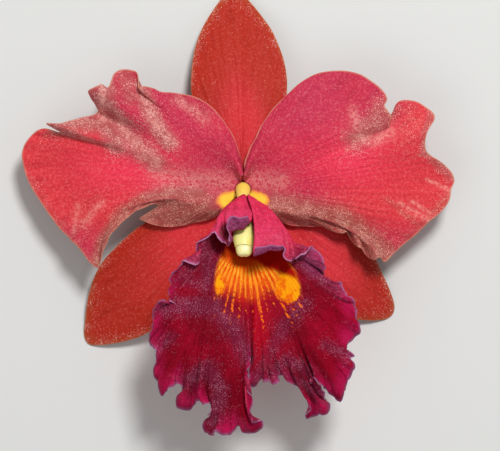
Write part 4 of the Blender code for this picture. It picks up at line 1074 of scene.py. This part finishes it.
def add_lip():
    grid, shares, margin_run = lip_grid()
    grid = notched(grid, margin_run, wavelength=9, depth=0.6, seed=37)
    for ruffle in LIP_RUFFLES:
        grid = crisped(grid, shares, margin_run, *ruffle)
    grid = vein_relief(grid, shares, seed=31, count=90, height=0.08)
    x, y = grid[..., 0], grid[..., 1]
    place, width, depth = SLIT
    crease = bell(x - place, width) * window(y, -64, -54, -40, -30)
    grid[..., 2] -= depth * crease
    materials = [lip_inner_finish(), lip_outer_finish()]
    add_blade("lip", grid, shares, LIP_RIM, lip_attributes(grid, shares), materials)


# ---- ovary and stalk, column, anther cap and pollen masses ----
OVARY_PATH = [  # x, y, z, radius, depth of the six ribs
    (0, 0, CORE_TOP, CORE_RADIUS, 0), (0, 0, -1, CORE_RADIUS, 0), (0, -0.1, -3.6, CORE_RADIUS, 0),
    (0, -0.9, -6.4, 2.5, 0.03), (0, -3.2, -9.4, 2.5, 0.06), (0, -6.8, -11.6, 2.7, 0.08),
    (0, -11.5, -12.8, 2.9, 0.09), (0, -17, -13.2, 2.8, 0.08), (0, -23, -13.3, 2.5, 0.05),
    (0, -29, -13.4, 2.1, 0.02), (0, -36, -13.6, 1.9, 0), (0, -44, -13.8, 1.8, 0),
    (0, -51, -14, 1.8, 0), (0, -58, -14.2, 2, 0),
]
RIBS = 6
# share of the last ring and way forward: a soft edge, then a face that has sunk in a little
STALK_END = ((0.96, 0.12), (0.9, 0.17), (0.8, 0.1), (0.55, -0.05), (0.3, -0.12))
COLUMN_PATH = [  # x, y, z, half-width, half-depth
    (0, 0, CORE_TOP + SEAT_GAP, 2.4, 2.4), (0, 0, 2.4, 2.4, 2.3), (0, -1, 4.4, 2.2, 1.8),
    (0, -2.6, 7, 1.9, 1.5), (0.05, -4.7, 10, 1.9, 1.5), (0.1, -7.2, 12.9, 2.2, 1.8),
    (0.2, -10.8, 16, 2.8, 2), (0.4, -15.2, 18.8, 3.4, 2.1), (0.4, -18, 20.1, 2.8, 2.1),
]
COLUMN_FLATNESS = 0.55  # how far the underside reaches, against the upper side
COLUMN_END = ((0.97, 0.12), (0.88, 0.14), (0.78, -0.1), (0.5, -0.35), (0.25, -0.4))
STIGMA = (0.86, 0.07, 0.675)  # the hollow under the column's end: its place, width and depth
CAP_WIDTH, CAP_HEIGHT, CAP_DEPTH = 5.4, 3.9, 3
CAP_WALL = 0.45
CAP_BLUNTNESS = 0.5  # 1 would be a half ball, and less is blunter
CAP_LIFT = 0.15  # how far above the column's middle line it sits
POLLINIUM = (0.55, 0.42, 0.6)  # half-width, half-height and half-depth
POLLINIA = (  # node, place across and above the column's end
    ("pollinium_upper_left", -0.8, 0.55),
    ("pollinium_upper_right", 0.8, 0.55),
    ("pollinium_lower_left", -0.8, -0.55),
    ("pollinium_lower_right", 0.8, -0.55),
)
COLUMN_WAX = ((255, 248, 158), (255, 236, 128), (255, 216, 90))  # light, dark, and the tint
CAP_WAX = ((255, 246, 176), (255, 234, 136), (240, 210, 90))
POLLEN_WAX = ((240, 190, 60), (214, 150, 36), (250, 220, 120))


def add_ovary():
    count, around = 180, 96
    line = smooth_path(OVARY_PATH, count)
    angle, share = turn(around), np.linspace(0, 1, count)
    fine = 0.012 * waves(angle / (2 * math.pi) * 17, 1, 41, 3) + 0.006 * np.sin(13 * angle)
    swell = 1 + 0.02 * waves(share * 60, 9, 43)
    reach = line[:, 3:4] * (1 + line[:, 4:5] * np.cos(RIBS * angle) + fine * share[:, None])
    reach *= swell[:, None]
    rings, _ = tube(line, reach * np.cos(angle), reach * np.sin(angle), STALK_END)
    everywhere = np.ones((len(rings), around))
    along = np.concatenate([share, np.ones(len(STALK_END))])[:, None] * everywhere
    attributes = {
        "along": along * 8,
        "around": (1.3 * np.cos(angle) + np.sin(angle)) * everywhere,
        "flush": smoothstep(0.35, 0, along) * 0.8 + 0.2,
        "cut": (np.arange(len(rings)) > count)[:, None] * everywhere,
    }
    finish_piece(solid_of_rings("stalk", rings, attributes, stalk_finish()), "ovary_pedicel")


def add_wax_body(name, rings, wax, node, tint=0):
    rings = np.array(rings)
    made = solid_of_rings(name, rings, {"tint": tint * np.ones(rings.shape[:2])}, wax)
    finish_piece(made, node)


def add_column():
    """The column; returns its end's middle and the three directions there."""
    count, around = 120, 72
    line = smooth_path(COLUMN_PATH, count)
    angle, share = turn(around), np.linspace(0, 1, count)[:, None]
    sine = np.sin(angle)
    over, under = np.clip(sine, 0, 1), np.clip(-sine, 0, 1)
    wing = 1 + 0.05 * smoothstep(0.55, 0.85, share) * bell(sine, 0.3)
    place, width, depth = STIGMA
    hollow = depth * bell(share - place, width) * under**4
    keel = 1 + 0.04 * over**12
    high = np.where(sine > 0, sine, sine * COLUMN_FLATNESS)
    wide, tall = line[:, 3:4] * np.cos(angle) * wing, line[:, 4:5] * high * keel + hollow
    rings, tip = tube(line, wide, tall, COLUMN_END)
    along = np.concatenate([share, np.ones((len(COLUMN_END), 1))])
    wax = wax_finish("column_wax", *COLUMN_WAX)
    add_wax_body("column_body", rings, wax, "column", smoothstep(0.45, 0.05, along))
    return tip


def ring_at(centre, tip, wide, high, forward):
    """A ring round a place: how far it reaches to the column end's side, upwards and forward."""
    _, side, up, ahead = tip
    return centre + np.outer(wide, side) + np.outer(high, up) + np.outer(forward, ahead)


def add_anther_cap(tip):
    """Two domes joined at the rim, with the furrow between the anther's lobes."""
    end, _, up, ahead = tip
    seat = end + ahead * SEAT_GAP + up * CAP_LIFT
    angle = turn(72)
    cosine, sine = np.cos(angle), np.sin(angle)

    def dome(thinner):
        wide, high = CAP_WIDTH / 2 - thinner, CAP_HEIGHT / 2 - thinner
        rings = []
        for lift in np.linspace(0, 0.49 * math.pi, 26):
            furrow = 1 - 0.08 * bell(cosine, 0.22) * (0.25 + 0.75 * math.sin(lift))
            flat = math.cos(lift) ** CAP_BLUNTNESS * furrow
            dent = 0.05 * math.sin(lift) ** 3 * bell(cosine, 0.25)
            sink = (CAP_DEPTH - thinner) * (math.sin(lift) - dent)
            rings.append(ring_at(seat, tip, wide * flat * cosine, high * flat * sine, sink))
        return rings

    wax = wax_finish("anther_wax", *CAP_WAX)
    add_wax_body("anther", dome(CAP_WALL)[::-1] + dome(0), wax, "anther_cap")


def add_pollinia(tip):
    end, side, up, ahead = tip
    wax = wax_finish("pollen_wax", *POLLEN_WAX)
    angle = turn(32)
    wide, high, deep = POLLINIUM
    for node, across, above in POLLINIA:
        centre = end + side * across + up * (above + CAP_LIFT) + ahead * (SEAT_GAP + deep)
        rings = []
        for lift in np.linspace(-0.47 * math.pi, 0.47 * math.pi, 20):
            right, upward = wide * math.cos(lift) * np.cos(angle), high * math.cos(lift) * np.sin(angle)
            rings.append(ring_at(centre, tip, right, upward, deep * math.sin(lift)))
        add_wax_body(node + "_mass", rings, wax, node)


# ---- floor, light and camera ----
VIEW_CENTRE = (2.24, -11.36)  # of the flower's frame, under the camera
VIEW_WIDTH = 160
CAMERA_DISTANCE = 1000
FLOOR_REACH = 3  # metres from its middle to each side
LAMPS = (  # direction, distance, diameter in metres, power in watts
    ("key", (0.2, 0.48, 0.85), 1.2, 0.3, 11),
    ("fill", (-0.5, -0.5, 0.9), 1.5, 1.2, 3),
)


def add_stage():
    mesh = bpy.data.meshes.new("floor")
    corners = [(x * FLOOR_REACH, y * FLOOR_REACH, 0) for x, y in ((-1, -1), (1, -1), (1, 1), (-1, 1))]
    mesh.from_pydata(corners, [], [(0, 1, 2, 3)])
    pale = Finish(
        "floor_pale", Roughness=0.9, Specular_IOR_Level=0.1, Base_Color=srgb(222, 222, 220),
    )
    mesh.materials.append(pale.material)
    placed("floor", mesh)


def add_world():
    """Even white light, and a pale backdrop in its place for the camera."""
    world = bpy.data.worlds.new("studio")
    bpy.context.scene.world = world
    world.use_nodes = True
    nodes, links = world.node_tree.nodes, world.node_tree.links
    light, seen = nodes["Background"], nodes.new("ShaderNodeBackground")
    light.inputs["Color"].default_value = (1, 1, 1, 1)
    light.inputs["Strength"].default_value = 0.3
    seen.inputs["Color"].default_value = srgb(236, 236, 234)
    seen.inputs["Strength"].default_value = 1
    path, either = nodes.new("ShaderNodeLightPath"), nodes.new("ShaderNodeMath")
    either.operation = "MAXIMUM"
    links.new(path.outputs["Is Camera Ray"], either.inputs[0])
    links.new(path.outputs["Is Transmission Ray"], either.inputs[1])
    blend = nodes.new("ShaderNodeMixShader")
    for source, socket in zip((either, light, seen), blend.inputs):
        links.new(source.outputs[0], socket)
    links.new(blend.outputs[0], nodes["World Output"].inputs["Surface"])


def add_lights():
    """Round lamps around the flower, shining at it."""
    for name, direction, distance, size, power in LAMPS:
        data = bpy.data.lights.new(name, "AREA")
        data.shape = "DISK"
        data.size = size
        data.energy = power
        lamp = placed(name, data)
        way = Vector(direction).normalized()
        lamp.location = Vector(to_row((0, -15, 0))) + way * distance
        lamp.rotation_euler = way.to_track_quat("Z", "Y").to_euler()


def add_camera():
    data = bpy.data.cameras.new("camera")
    camera = placed("camera", data)
    camera.location = to_row((*VIEW_CENTRE, CAMERA_DISTANCE))
    data.sensor_width = 36
    data.lens = data.sensor_width * CAMERA_DISTANCE / VIEW_WIDTH
    data.clip_start = 0.01
    data.clip_end = 20
    bpy.context.scene.camera = camera


def main():
    bpy.context.scene.view_settings.view_transform = "Standard"
    add_camera()
    add_stage()
    add_world()
    add_lights()
    add_sepals()
    add_petals()
    add_lip()
    add_ovary()
    tip = add_column()
    add_anther_cap(tip)
    add_pollinia(tip)


main()
